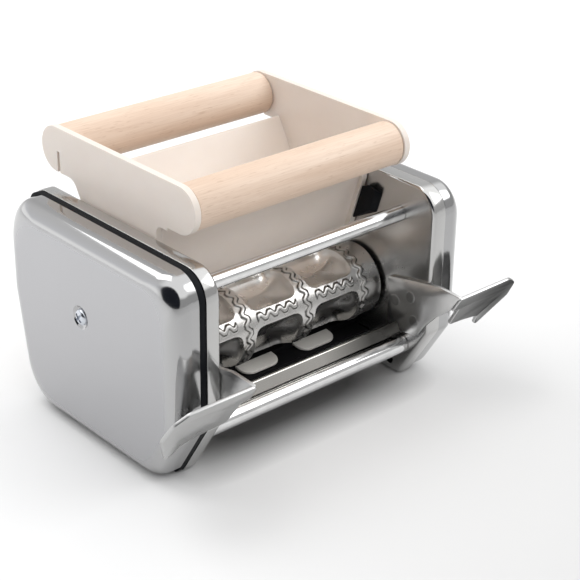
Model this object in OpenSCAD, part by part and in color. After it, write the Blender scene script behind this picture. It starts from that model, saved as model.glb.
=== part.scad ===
// Hand cranked ravioli maker: two covered side frames carry a pair of pocketed
// rollers, and a lift-off hopper with two wooden dowels stands between them.
// Millimetres. +X runs along the rollers, +Y to the back and +Z up.
// Lengths along Y start at the front face of the side frames, heights at the base.

/* [Side frames] */
// Clear width between the two side plates
inner_w = 134; // [124:1:150]
// Height of the side frames
body_h = 108; // [106:1:116]
// Depth of the side frames from front to back
body_d = 132; // [128:1:142]
// Depth of the turned flange around each side frame
flange_w = 8; // [6:0.5:12]
// Sheet thickness of the side frames
frame_t = 1.5; // [1:0.1:2]
// Corner radius at the front of the top edge
front_top_r = 14; // [6:0.5:16]
// Corner radius at the back of the top edge
back_top_r = 8; // [6:0.5:12]
// Height of the slanted cut at the lower front
chamfer_h = 31; // [24:1:36]
// Depth of the slanted cut at the lower front
chamfer_d = 19; // [14:1:22]
// Height at which the back edge starts to lean forward
back_kink_h = 61; // [50:1:70]
// How far the base reaches behind the lower rear rod
foot_behind_rod = 14; // [13:0.5:17]
// Corner radius at the back of the base
back_foot_r = 14; // [8:1:16]
// Diameter of the small hole low in each side plate
drain_hole_d = 5; // [3:0.5:6]

/* [Side covers] */
// Depth of each outer cover
cover_w = 14.5; // [12.5:0.5:20]
// Rounding of the outer edge of the covers
cover_fillet = 10; // [4:0.5:10.5]
// Height of the underside of the covers above the base
cover_lift = 1.2; // [0:0.1:2.5]
// Corner radius of the cover rims at the front foot
cover_foot_r = 12; // [4:1:18]
// Corner radius of the cover rims at the back foot
cover_heel_r = 18; // [14:1:22]
// Corner radius of the cover rims at the back of the top
cover_back_top_r = 15; // [8:1:20]
// How much rounder the corners are on the faces of the covers
cover_soften = 6; // [0:1:10]
// Wall thickness of the covers
cover_t = 1.8; // [1.2:0.1:2.4]
// Width of the dark band between the left frame and its cover
band_w = 4; // [2:0.5:8]
// How far the dark band lies below the surface around it
band_inset = 0.5; // [0.2:0.1:1]
// Wall thickness of the dark band
band_t = 3; // [2:0.5:4]
// Head diameter of the cover screws
screw_head_d = 7; // [5:0.5:9]
// Shank diameter of the cover screws
screw_d = 4; // [3:0.5:4.5]
// Distance of the cover screws from the front face
screw_y = 70.5; // [69:0.5:72]
// Height of the cover screws above the base
screw_z = 66.5; // [65:0.5:68]
// Diameter of the posts that the cover screws are driven into
post_d = 8; // [7:0.5:10]

/* [Tie rods] */
// Diameter of the upper tie rods
top_rod_d = 8; // [6:0.5:10]
// Diameter of the lower tie rods
low_rod_d = 10; // [7:0.5:11]
// Diameter of the threaded rod ends
rod_end_d = 5; // [4:0.5:6]
// Distance of the upper front rod from the front face
top_rod_y = 23.4; // [19:0.2:26]
// Distance of the upper front rod below the top edge
top_rod_drop = 18; // [14:0.5:22]
// Distance of the lower front rod from the front face
low_rod_y = 18; // [17:0.5:19]
// Height of the lower front rod
low_rod_z = 19; // [18:0.5:20]
// Distance of the upper rear rod from the back face
rear_top_rod_y = 11; // [9:0.5:13]
// Distance of the upper rear rod below the top edge
rear_top_rod_drop = 36; // [24:1:40]
// Distance of the lower rear rod behind the back roller axis
rear_low_rod_y = 15.6; // [14:0.2:17]
// Height of the lower rear rod
rear_low_rod_z = 14; // [12:0.5:17]
// Width across the flats of the rod nuts
nut_flats = 8; // [8:0.5:10]
// Thickness of the rod nuts
nut_t = 4; // [3:0.5:5]

/* [Rollers] */
// Distance of the front roller axis from the front face
roller_y = 51.4; // [50:0.2:53]
// Height of the roller axes
roller_z = 45.2; // [44.5:0.1:46]
// Radius of the roller drums between the raised rings
drum_r = 19.1; // [18.5:0.1:19.3]
// Height of the raised rings above the drums
ring_h = 0.75; // [0.4:0.05:0.9]
// Width of the raised rings
ring_w = 5; // [3:0.5:6]
// Distance from ring to ring along the rollers
ring_pitch = 38.1; // [36:0.1:38.5]
// Number of ravioli columns
columns = 3; // [2:1:3]
// Number of pockets around each roller
pockets = 3; // [3:1:4]
// Distance of the right hand ring from the middle of the body
ring_start = 53.3; // [52:0.1:56]
// Depth of the pockets at their middle
pocket_deep = 8.6; // [8:0.1:9]
// Width of the lands left between the pockets of a column
land_w = 8; // [7:0.5:10]
// Rounding of a pocket's corners
pocket_corner = 5; // [3:0.5:7]
// Wall left between a pocket and the next ring
pocket_margin = 1.5; // [0.6:0.1:3]
// Turn of the first pocket away from the front
pocket_turn = 87; // [80:1:95]
// Diameter of the roller shafts
shaft_d = 8; // [6:0.5:9]
// Outer diameter of the shaft bushes
bush_d = 12; // [11:0.5:14]
// Diameter of the bush collars inside the body
bush_collar_d = 16; // [15:0.5:18]
// Thickness of the bush collars
bush_collar_t = 1.5; // [1:0.1:2]

/* [Gears] */
// Teeth on each roller gear
teeth = 20; // [18:2:24]
// Distance between the two roller axes
axis_gap = 40; // [40:0.1:41]
// Width of the roller gears
gear_w = 8; // [5:0.5:9]
// Free play between the gear teeth
backlash = 0.3; // [0.2:0.05:0.5]

/* [Crank socket] */
// Diameter of the socket head on the front roller shaft
socket_d = 16; // [14:0.5:18]
// Diameter of the hole that takes the crank
socket_bore_d = 8.6; // [8:0.1:9]
// Depth of the hole that takes the crank
socket_depth = 16; // [10:1:17]
// Width of the notch across the socket mouth
notch_w = 2.8; // [2:0.1:2.8]
// Depth of the notch across the socket mouth
notch_depth = 4; // [3:0.5:6]
// Free space around the socket in the right cover
socket_gap = 0.6; // [0.4:0.1:2]

/* [Hopper] */
// Thickness of the hopper end plates
plate_t = 3.5; // [3:0.1:4]
// Free space between the hopper and each side plate
side_gap = 0.6; // [0.4:0.1:1]
// Thickness of the sloping hopper walls
wall_t = 2.5; // [1.8:0.1:3]
// Height of the dowel axes above the base
dowel_z = 126.5; // [125:0.5:134]
// Distance of the front dowel axis from the front face
front_dowel_y = 29.6; // [27:0.2:30]
// Distance between the two dowel axes
dowel_gap = 96.1; // [95:0.1:100]
// Diameter of the wooden dowels
dowel_d = 22; // [18:0.5:24]
// Margin of the hopper lobes around the dowels
lobe_margin = 0.5; // [0:0.1:2]
// Diameter of the dowel pins
pin_d = 5; // [4:0.5:6]
// Depth of the pin sockets in the end plates
pin_socket = 2.5; // [1.5:0.1:2.5]
// Length of a dowel pin inside the wood
pin_grip = 12; // [8:1:20]
// Free space at each end of a dowel
dowel_play = 0.4; // [0.3:0.1:0.8]
// Width of the snap slit in the rear lobes
slit_w = 1.8; // [1:0.1:2.5]
// Height of the upper edge of the hopper walls
wall_top_z = 117.5; // [116:0.5:120]
// Height of the lower edge of the hopper walls
wall_low_z = 66; // [66:0.5:72]
// Place of the outer face of the front wall at its upper edge
front_wall_y = 44.2; // [43.8:0.1:44.8]
// Lean of the front wall away from upright
front_wall_lean = 17.9; // [17:0.1:18.5]
// Place of the inner face of the rear wall at its upper edge
rear_wall_y = 110; // [109:0.2:111]
// Lean of the rear wall away from upright
rear_wall_lean = 30.2; // [29.6:0.1:30.6]
// Height at which the hopper ends below
hopper_low_z = 65; // [65:0.5:70]
// Front edge of the hopper neck
neck_y = 46.8; // [46:0.1:47.2]
// Height at which the front edge of the neck starts to slope
neck_kink_z = 102; // [101:0.5:103]
// Gap between the hopper and the guides that it stands on
seat_gap = 0.3; // [0.3:0.05:0.5]
// Width of the black hopper guides
guide_w = 3.5; // [3:0.5:6]
// Depth of the front hopper guides
guide_d = 8.6; // [7:0.2:9]
// Depth of the rear hopper guides
rear_guide_d = 8; // [6:0.5:9]

/* [Hook arms] */
// Sheet thickness of the hook arms
arm_t = 2; // [1.5:0.1:2.2]
// Reach of the hook arms in front of the side frames
arm_reach = 22.4; // [20:0.2:26]
// Height of the upper edge of the hook arms in front
arm_top_z = 59.4; // [56:0.2:62]
// Lean of the hook panels away from upright
arm_lean = 32; // [28:1:36]
// Distance from the middle of the body to the outer hook edge
arm_half_w = 111; // [107:0.5:115]
// Length of the seam between cheek and hook panel
arm_seam_l = 9.5; // [8:0.5:11]
// Height of the hook panels beside their seam
arm_side_h = 24.5; // [22:0.5:26]
// Height of the hook panels at the foot of the hook
arm_foot_h = 38.6; // [36:0.2:41]
// Height of the outer corner of the hook
arm_tip_h = 17.5; // [15:0.5:20]
// Distance of the foot of the hook from the outer hook edge
arm_foot_in = 9.8; // [8:0.2:12]
// Length of the small turned tab on top of each hook arm
tab_l = 16; // [12:0.5:17]
// Width of that tab
tab_w = 4; // [3:0.5:5]
// Radius of the pressed boss on each hook panel
boss_r = 4.2; // [3:0.2:5]
// Distance of that boss from the inner edge of the panel
boss_x = 21.5; // [18:0.5:24]
// Rivet shank diameter of the hook arms
rivet_d = 4; // [3:0.5:4]
// Rivet head diameter of the hook arms
rivet_head_d = 6.4; // [5:0.2:7]

/* [Strippers] */
// Sheet thickness of the deflector strips
strip_t = 1; // [0.8:0.1:1.4]
// Height of the deflector strips
strip_h = 5.5; // [5:0.5:8]
// Gap between the lower rods and the deflector strips
strip_gap = 2; // [1:0.2:3.4]
// Height of the stripper combs above the base
comb_z = 17.5; // [15:0.5:18.5]
// Thickness of the stripper bars
bar_t = 3; // [2:0.5:4]
// Depth of the stripper bars
bar_w = 10; // [8:0.5:10]
// Thickness of the stripper tongues and of their raised edge
tongue_t = 1.5; // [1:0.1:2]
// Width of the stripper tongues
tongue_w = 24; // [18:0.5:30]
// Length of the stripper tongues
tongue_l = 8.5; // [6:0.5:10]
// Gap between the raised edge of a comb and the roller
scrape_gap = 0.6; // [0.4:0.1:1]

/* [Fits] */
// Radial clearance of turning shafts and pins
running_gap = 0.05; // [0.02:0.01:0.08]
// Radial clearance of parts that stay put
fixed_gap = 0.02; // [0.01:0.01:0.05]
// Clearance between parts that move past each other
free_gap = 0.3; // [0.3:0.05:0.6]

/* [Hidden] */
$fn = 64;
eps = 0.01;
plate_x = inner_w / 2;
flange_x = plate_x + flange_w;
back_roller_y = roller_y + axis_gap;
foot_y = back_roller_y + rear_low_rod_y + foot_behind_rod;
// Outline of a side frame, seen from the left: distance, height and radius of each corner
frame_corners = [
    [chamfer_d, 0, 4],
    [foot_y, 0, back_foot_r],
    [body_d, back_kink_h, 20],
    [body_d, body_h, back_top_r],
    [0, body_h, front_top_r],
    [0, chamfer_h, 5]];
cover_corners = [
    [chamfer_d * (1 - cover_lift / chamfer_h), cover_lift, cover_foot_r],
    [foot_y + (body_d - foot_y) * cover_lift / back_kink_h, cover_lift, cover_heel_r],
    [body_d, back_kink_h, 24],
    [body_d, body_h, cover_back_top_r],
    [0, body_h, front_top_r],
    [0, chamfer_h, 6]];
corner_steps = 9;
fillet_steps = 8;
// Rollers
ring_r = drum_r + ring_h;
roller_end = plate_x - bush_collar_t - free_gap;
ring_xs = [for (i = [0:columns]) ring_start - i * ring_pitch];
bush_out = plate_x + frame_t + 1.2;
gear_in = bush_out + free_gap;
shaft_end = gear_in + gear_w + 2;
socket_x = flange_x + cover_w;
// Gears
gear_m = axis_gap / teeth;
pitch_r = axis_gap / 2;
base_r = pitch_r * cos(20);
tip_r = pitch_r + gear_m;
root_r = pitch_r - 1.25 * gear_m;
// Rods
rear_top_y = body_d - rear_top_rod_y;
top_rod_z = body_h - top_rod_drop;
rear_top_rod_z = body_h - rear_top_rod_drop;
rear_low_y = back_roller_y + rear_low_rod_y;
rods = [[top_rod_y, top_rod_z], [low_rod_y, low_rod_z],
    [rear_top_y, rear_top_rod_z], [rear_low_y, rear_low_rod_z]];
// Hopper
lobe_r = dowel_d / 2 + lobe_margin;
back_dowel_y = front_dowel_y + dowel_gap;
hop_out = plate_x - side_gap;
hop_in = hop_out - plate_t;
under_z = dowel_z - lobe_r;
edge_lean = 16.7;
front_low_y = neck_y + (neck_kink_z - hopper_low_z) * tan(edge_lean);
rear_out = rear_wall_y + wall_t / cos(rear_wall_lean);
guide_top_z = body_h - 7;
guide_low_z = body_h - 30;
rear_guide_top_z = body_h - 10;
// Hook arms
arm_in = plate_x - arm_t;
arm_u = [sin(arm_lean), -cos(arm_lean)];
rivets = [[11.5, 48.3], [8.5, 35.9], [22, 43]];
// The origin is under the middle of the whole, at the base
origin_y = (back_dowel_y + lobe_r - arm_reach) / 2;

function xy(p) = [p[0], p[1]];
function unit(v) = v / norm(v);
function cross2(a, b) = a[0] * b[1] - a[1] * b[0];
function inward(a, b) = [a[1] - b[1], b[0] - a[0]] / norm(b - a);
function meet(p, d, q, e) = p + d * cross2(q - p, e) / cross2(d, e);
// Corner i of an outline after every side has moved in by t
function moved(c, i, t) =
    let (n = len(c), a = xy(c[(i + n - 1) % n]), b = xy(c[i]), d = xy(c[(i + 1) % n]))
    let (p = meet(b + inward(a, b) * t, b - a, b + inward(b, d) * t, d - b))
    [p[0], p[1], max(c[i][2] - t, 0.4)];
function inset(c, t) = [for (i = [0:len(c) - 1]) moved(c, i, t)];
// Points of the arc that rounds one corner
function arc(a, b, c, r, n) =
    let (d1 = unit(a - b), d2 = unit(c - b), w = acos(max(-1, min(1, d1 * d2))))
    let (m = b + unit(d1 + d2) * r / sin(w / 2), p = b + d1 * r / tan(w / 2) - m)
    let (s = cross2(b - a, c - b) > 0 ? 1 : -1, a0 = atan2(p[1], p[0]))
    [for (k = [0:n]) m + r * [cos(a0 + s * (180 - w) * k / n), sin(a0 + s * (180 - w) * k / n)]];
function smooth(c, n) =
    [for (i = [0:len(c) - 1])
        let (k = len(c), q = c[i])
        each (q[2] == undef || q[2] == 0
            ? [xy(q)]
            : arc(xy(c[(i + k - 1) % k]), xy(q), xy(c[(i + 1) % k]), q[2], n))];
function rear_face(z) = rear_wall_y - (wall_top_z - z) * tan(rear_wall_lean);
function front_face(z) = front_wall_y + (wall_top_z - z) * tan(front_wall_lean);
function plate_front(z) = neck_y + (neck_kink_z - z) * tan(edge_lean);
function plate_rear(z) = rear_out - (wall_top_z - z) * tan(rear_wall_lean);
function inv(f) = tan(f) * 180 / PI - f;
function flank(r) = 90 / teeth - backlash * 90 / (PI * pitch_r) + inv(20) - inv(acos(min(1, base_r / r)));

// Puts a thing that is measured from the front face and the base into place
module place() {
    translate([0, -origin_y, 0]) children();
}

// Extrudes a shape drawn in depth and height along X, from x0 over a width
module across(x0, w) {
    translate([x0, 0, 0]) rotate([90, 0, 90]) linear_extrude(w) children();
}

// A round bar along X
module bar_x(x0, w, r, y, z) {
    translate([x0, y, z]) rotate([0, 90, 0]) cylinder(h = w, r = r);
}

// Children once on the right, or mirrored to the left
module side(s) {
    if (s > 0) children();
    else mirror([1, 0, 0]) children();
}

// Outline that has moved in by t and whose corners have grown rounder by g
function softer(c, t, g) = [for (i = [0:len(c) - 1])
    let (p = moved(c, i, t))
    [p[0], p[1], c[i][2] + g]];

// Solid with the frame outline whose far edge and far corners are rounded
module pillow(corners, start, depth, r) {
    rings = concat([[start, 0]],
        [for (k = [0:fillet_steps])
            let (a = 90 * k / fillet_steps)
            [depth - r + r * sin(a), r * (1 - cos(a))]]);
    m = len(smooth(corners, corner_steps));
    pts = [for (g = rings) each
        [for (p = smooth(softer(corners, g[1], cover_soften * g[1] / r), corner_steps)) [g[0], p[0], p[1]]]];
    n = len(rings);
    polyhedron(points = pts, faces = concat(
        [[for (i = [0:m - 1]) i]],
        [for (k = [0:n - 2]) each [for (i = [0:m - 1]) [k * m + i, (k + 1) * m + i, k * m + (i + 1) % m]]],
        [for (k = [0:n - 2]) each [for (i = [0:m - 1])
            [(k + 1) * m + i, (k + 1) * m + (i + 1) % m, k * m + (i + 1) % m]]],
        [[for (i = [m - 1:-1:0]) (n - 1) * m + i]]), convexity = 4);
}

// Holes through a side plate for the rods, the bushes, the rivets and the small hole
module plate_holes(x0, w) {
    for (p = rods) bar_x(x0, w, rod_end_d / 2 + fixed_gap, p[0], p[1]);
    for (y = [roller_y, back_roller_y]) bar_x(x0, w, bush_d / 2 + fixed_gap, y, roller_z);
    for (p = rivets) bar_x(x0, w, rivet_d / 2 + fixed_gap, p[0], p[1]);
    bar_x(x0, w, drain_hole_d / 2, chamfer_d + 6.8, 6.5);
    bar_x(x0, w, screw_d / 2 + fixed_gap, screw_y, screw_z);
}

module side_frame(s) {
    place() side(s) difference() {
        across(plate_x, flange_w) polygon(smooth(frame_corners, corner_steps));
        across(plate_x + frame_t, flange_w) polygon(smooth(inset(frame_corners, frame_t), corner_steps));
        plate_holes(plate_x - 1, frame_t + 2);
    }
}

module left_side_frame() {
    color("silver") side_frame(-1);
}

module right_side_frame() {
    color("silver") side_frame(1);
}

module gear_case_band() {
    color([0.05, 0.05, 0.06]) place() side(-1) difference() {
        across(flange_x, band_w) polygon(smooth(inset(frame_corners, band_inset), corner_steps));
        across(flange_x - 1, band_w + 2)
            polygon(smooth(inset(frame_corners, band_inset + band_t), corner_steps));
    }
}

// Hollow cover that starts at x0
module cover(x0) {
    translate([x0, 0, 0]) difference() {
        pillow(cover_corners, 0, cover_w, cover_fillet);
        pillow(inset(cover_corners, cover_t), -1, cover_w - cover_t, cover_fillet - cover_t);
    }
}

module left_cover() {
    color([0.7, 0.7, 0.71]) place() side(-1) difference() {
        cover(flange_x + band_w);
        bar_x(flange_x + band_w, cover_w + 1, screw_d / 2 + free_gap, screw_y, screw_z);
    }
}

module right_cover() {
    color([0.7, 0.7, 0.71]) place() difference() {
        cover(flange_x);
        bar_x(flange_x, cover_w + 1, screw_d / 2 + free_gap, screw_y, screw_z);
        bar_x(flange_x, cover_w + 1, socket_d / 2 + socket_gap, roller_y, roller_z);
    }
}

// Post between a side plate and the inside of its cover
module cover_post(s, face) {
    place() side(s) difference() {
        bar_x(plate_x + frame_t, face - cover_t - plate_x - frame_t, post_d / 2, screw_y, screw_z);
        bar_x(plate_x, face - plate_x, screw_d / 2 + fixed_gap, screw_y, screw_z);
    }
}

module left_cover_post() {
    color("dimgray") cover_post(-1, socket_x + band_w);
}

module right_cover_post() {
    color("dimgray") cover_post(1, socket_x);
}

// Domed screw with a cross recess whose head lies on a cover face
module cover_screw(s, face) {
    place() side(s) translate([face, screw_y, screw_z]) rotate([0, 90, 0]) difference() {
        union() {
            translate([0, 0, -12]) cylinder(h = 12, r = screw_d / 2);
            intersection() {
                cylinder(h = 2, r = screw_head_d / 2);
                translate([0, 0, -screw_head_d * 0.55]) sphere(r = screw_head_d * 0.55 + 2);
            }
        }
        for (a = [45, 135]) rotate([0, 0, a])
            translate([-screw_head_d * 0.3, -0.5, 0.6]) cube([screw_head_d * 0.6, 1, 3]);
    }
}

module left_cover_screw() {
    color("lightgray") cover_screw(-1, socket_x + band_w);
}

module right_cover_screw() {
    color("lightgray") cover_screw(1, socket_x);
}

// Rod that stops at the side plates, with thinner ends through them
module tie_rod(r, y, z) {
    tail = frame_t + nut_t + 1.5;
    place() union() {
        bar_x(-plate_x, inner_w, r, y, z);
        bar_x(-plate_x - tail, inner_w + 2 * tail, rod_end_d / 2, y, z);
    }
}

module top_front_rod() {
    color("gainsboro") tie_rod(top_rod_d / 2, top_rod_y, top_rod_z);
}

module bottom_front_rod() {
    color("gainsboro") tie_rod(low_rod_d / 2, low_rod_y, low_rod_z);
}

module top_rear_rod() {
    color("gainsboro") tie_rod(top_rod_d / 2, rear_top_y, rear_top_rod_z);
}

module bottom_rear_rod() {
    color("gainsboro") tie_rod(low_rod_d / 2, rear_low_y, rear_low_rod_z);
}

module rod_nuts(s) {
    place() side(s) for (p = rods)
        translate([plate_x + frame_t, p[0], p[1]]) rotate([0, 90, 0]) difference() {
            cylinder(h = nut_t, r = nut_flats / sqrt(3), $fn = 6);
            translate([0, 0, -1]) cylinder(h = nut_t + 2, r = rod_end_d / 2 + fixed_gap);
        }
}

module left_rod_nuts() {
    color("darkgray") rod_nuts(-1);
}

module right_rod_nuts() {
    color("darkgray") rod_nuts(1);
}

// Four collared bushes, each pushed into its side plate from the inside
module roller_bushes() {
    color([0.72, 0.6, 0.35]) place() for (s = [-1, 1], y = [roller_y, back_roller_y])
        side(s) difference() {
            union() {
                bar_x(plate_x - bush_collar_t, bush_collar_t, bush_collar_d / 2, y, roller_z);
                bar_x(plate_x - eps, bush_out - plate_x + eps, bush_d / 2, y, roller_z);
            }
            bar_x(plate_x - 5, 15, shaft_d / 2 + running_gap, y, roller_z);
        }
}

module front_guide(s) {
    y1 = plate_front(guide_top_z) - seat_gap;
    y2 = plate_front(guide_low_z) - seat_gap;
    place() side(s) across(plate_x - guide_w, guide_w) polygon([
        [y2, guide_low_z], [y1, guide_top_z - guide_d * 0.19], [y1 - guide_d * 0.47, guide_top_z + 0.3],
        [y1 - guide_d, guide_top_z - guide_d * 0.28], [y1 - guide_d * 0.6, guide_top_z - guide_d * 1.67]]);
}

module left_front_guide() {
    color([0.06, 0.06, 0.06]) front_guide(-1);
}

module right_front_guide() {
    color([0.06, 0.06, 0.06]) front_guide(1);
}

module rear_guide(s) {
    y1 = plate_rear(rear_guide_top_z) + seat_gap * 1.2;
    y2 = plate_rear(guide_low_z) + seat_gap * 1.2;
    place() side(s) across(plate_x - guide_w, guide_w) polygon([
        [y2, guide_low_z], [y2 + rear_guide_d, guide_low_z],
        [y1 + rear_guide_d * 0.75, rear_guide_top_z], [y1, rear_guide_top_z]]);
}

module left_rear_guide() {
    color([0.06, 0.06, 0.06]) rear_guide(-1);
}

module right_rear_guide() {
    color([0.06, 0.06, 0.06]) rear_guide(1);
}

// Bent sheet arm: a cheek along the side plate and a leaning panel with a hook foot
module hook_arm(s) {
    top = [-arm_reach, arm_top_z];
    mid = [cos(arm_lean), sin(arm_lean)] * arm_t / 2;
    low = top + arm_u * (arm_seam_l - 0.3) + mid;
    foot = arm_half_w - arm_foot_in;
    place() side(s) {
        difference() {
            across(arm_in, arm_t) polygon(smooth([
                [top[0] + mid[0] + arm_u[0] * 0.3, top[1] + mid[1] + arm_u[1] * 0.3],
                [low[0], low[1]],
                [-5.6, 43.2, 3],
                [0.8, 36.1, 8],
                [6, 28.4, 3],
                [26.5, 25.4, 2],
                [28, 54.4, 2],
                [13, 57.5],
                [-1, 60],
                [-7, 61.2],
                [top[0] + 1.6, top[1] + 1.1]], 4));
            for (p = rivets) bar_x(arm_in - 1, arm_t + 2, rivet_d / 2 + fixed_gap, p[0], p[1]);
        }
        translate([0, top[0], top[1]]) rotate([90 + arm_lean, 0, 0]) {
            translate([0, 0, -arm_t]) linear_extrude(arm_t) polygon(smooth([
                [arm_in, 0],
                [arm_in, -arm_seam_l],
                [arm_in + 5, -arm_seam_l, 2],
                [arm_in + 7, -arm_side_h, 2],
                [arm_in + 17, -arm_side_h - 1],
                [foot - 8, -arm_side_h - 3.5, 3],
                [foot - 5.4, -arm_side_h - 5],
                [foot - 2.6, -arm_foot_h + 1.4, 1],
                [foot, -arm_foot_h, 1],
                [arm_half_w, -arm_tip_h, 4],
                [arm_half_w - 2.5, -5.5, 5],
                [arm_half_w - 9.5, 0, 6]], 4));
            translate([arm_in + boss_x, -boss_r * 1.8, -eps]) cylinder(h = 0.8 + eps, r1 = boss_r, r2 = boss_r * 0.7);
        }
        translate([plate_x - eps, -tab_l - 1.5, arm_top_z + 0.4]) cube([tab_w, tab_l, 1.2]);
    }
}

module left_hook_arm() {
    color([0.78, 0.78, 0.78]) hook_arm(-1);
}

module right_hook_arm() {
    color([0.78, 0.78, 0.78]) hook_arm(1);
}

module arm_rivets(s) {
    place() side(s) for (p = rivets)
        translate([0, p[0], p[1]]) rotate([0, 90, 0]) union() {
            translate([0, 0, arm_in - eps]) cylinder(h = arm_t + frame_t + 2 * eps, r = rivet_d / 2);
            translate([0, 0, plate_x + frame_t]) cylinder(h = 1.2, r = rivet_head_d / 2);
            translate([0, 0, arm_in - 1]) cylinder(h = 1, r1 = rivet_head_d * 0.32, r2 = rivet_head_d / 2);
        }
}

module left_arm_rivets() {
    color("gray") arm_rivets(-1);
}

module right_arm_rivets() {
    color("gray") arm_rivets(1);
}

// Folded strip just above a lower rod, which sheds the dough; lean is 1 in front and -1 behind
module strip(w, y, z, lean) {
    across(-w / 2, w) polygon([
        [y - lean, z],
        [y - lean * (1 - strip_t), z - 0.4],
        [y + lean * (1.2 + strip_t), z + strip_h - 1.6],
        [y + lean * 6.2, z - 1.4],
        [y + lean * (6.2 + strip_t), z - 1],
        [y + lean * (1.8 + strip_t), z + strip_h],
        [y + lean * 1.4, z + strip_h]]);
}

module front_deflector_strip() {
    color([0.8, 0.76, 0.7]) place()
        strip(2 * arm_in, low_rod_y, low_rod_z + low_rod_d / 2 + strip_gap, 1);
}

module rear_deflector_strip() {
    color([0.8, 0.76, 0.7]) place()
        strip(inner_w, rear_low_y, rear_low_rod_z + low_rod_d / 2 + strip_gap, -1);
}

// Bar under a roller with a tongue below each column and an edge that rises towards the nip
module stripper_comb() {
    y0 = roller_y + 0.6;
    edge_y = y0 + bar_w - tongue_t;
    far = ring_r + scrape_gap;
    edge_z = roller_z - sqrt(far * far - (edge_y - roller_y) * (edge_y - roller_y));
    translate([-plate_x, y0, comb_z]) cube([inner_w, bar_w, bar_t]);
    translate([-plate_x + 4, edge_y, comb_z]) cube([inner_w - 8, tongue_t, edge_z - comb_z]);
    translate([0, y0 + eps, comb_z + bar_t - tongue_t]) linear_extrude(tongue_t)
        for (c = [0:columns - 1]) translate([ring_start - (c + 0.5) * ring_pitch, 0])
            polygon(smooth([
                [-tongue_w / 2, -tongue_l, 6], [tongue_w / 2, -tongue_l, 6],
                [tongue_w / 2, 0], [-tongue_w / 2, 0]], 5));
}

module front_stripper_comb() {
    color([0.45, 0.45, 0.45]) place() stripper_comb();
}

module rear_stripper_comb() {
    color([0.45, 0.45, 0.45]) place()
        translate([0, 2 * roller_y + axis_gap, 0]) mirror([0, 1, 0]) stripper_comb();
}

// Cutter for one pocket, towards +Y from the roller axis: a wide trough with rounded corners
module pocket_cutter() {
    half = ring_pitch / 2 - ring_w / 2 - pocket_margin;
    spread = 180 / pockets - land_w / 2 / drum_r * 180 / PI;
    floor_r = drum_r - pocket_deep;
    trough_y = (drum_r * drum_r - floor_r * floor_r) / (2 * (drum_r * cos(spread) - floor_r));
    wide = 0.97 * drum_r * sin(spread);
    intersection() {
        translate([0, trough_y, 0]) rotate([0, 90, 0])
            cylinder(h = 4 * half, r = trough_y - floor_r, center = true);
        rotate([-90, 0, 0]) linear_extrude(drum_r + 2)
            polygon(smooth([
                [-half, -wide, pocket_corner], [half, -wide, pocket_corner],
                [half, wide, pocket_corner], [-half, wide, pocket_corner]], 5));
    }
}

// Drum with raised rings and rows of pockets; lean is 1 for the front roller and -1 for the back one
module roller(y, lean) {
    place() translate([0, y, roller_z]) difference() {
        union() {
            bar_x(-roller_end, 2 * roller_end, drum_r, 0, 0);
            for (x = ring_xs)
                bar_x(max(x - ring_w / 2, -roller_end), min(ring_w, x + ring_w / 2 + roller_end), ring_r, 0, 0);
        }
        bar_x(-roller_end - 1, 2 * roller_end + 2, shaft_d / 2 + fixed_gap, 0, 0);
        for (c = [0:columns - 1], k = [0:pockets - 1]) {
            a = pocket_turn + k * 360 / pockets;
            cx = ring_start - (c + 0.5) * ring_pitch;
            translate([cx, 0, 0]) rotate([atan2(sin(a), -lean * cos(a)), 0, 0]) pocket_cutter();
        }
    }
}

module front_roller() {
    color([0.66, 0.64, 0.61]) roller(roller_y, 1);
}

module back_roller() {
    color([0.66, 0.64, 0.61]) roller(back_roller_y, -1);
}

module front_roller_shaft() {
    color("gainsboro") place() difference() {
        union() {
            bar_x(-shaft_end, shaft_end + gear_in + eps, shaft_d / 2, roller_y, roller_z);
            bar_x(gear_in, socket_x - gear_in, socket_d / 2, roller_y, roller_z);
        }
        bar_x(socket_x - socket_depth, socket_depth + 1, socket_bore_d / 2, roller_y, roller_z);
        translate([socket_x - notch_depth, roller_y - socket_d, roller_z - notch_w / 2])
            cube([notch_depth + 1, 2 * socket_d, notch_w]);
    }
}

module back_roller_shaft() {
    color("gainsboro") place()
        bar_x(-shaft_end, shaft_end + bush_out + 1, shaft_d / 2, back_roller_y, roller_z);
}

// Spur gear around Z with a tooth centred on +Y, or a gap when half is 1
module gear(half) {
    rs = [for (k = [0:5]) base_r + (tip_r - base_r) * k / 5];
    difference() {
        linear_extrude(gear_w) polygon([for (i = [0:teeth - 1]) let (m = 90 + (i + half / 2) * 360 / teeth)
            each concat(
                [root_r * [cos(m - flank(base_r)), sin(m - flank(base_r))]],
                [for (r = rs) r * [cos(m - flank(r)), sin(m - flank(r))]],
                [for (k = [5:-1:0]) rs[k] * [cos(m + flank(rs[k])), sin(m + flank(rs[k]))]],
                [root_r * [cos(m + flank(base_r)), sin(m + flank(base_r))]])]);
        translate([0, 0, -1]) cylinder(h = gear_w + 2, r = shaft_d / 2 + fixed_gap);
    }
}

module roller_gear(y, half) {
    place() translate([-gear_in - gear_w, y, roller_z]) rotate([0, 90, 0]) gear(half);
}

module front_roller_gear() {
    color([0.6, 0.58, 0.5]) roller_gear(roller_y, 0);
}

module back_roller_gear() {
    color([0.6, 0.58, 0.5]) roller_gear(back_roller_y, 1);
}

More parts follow.
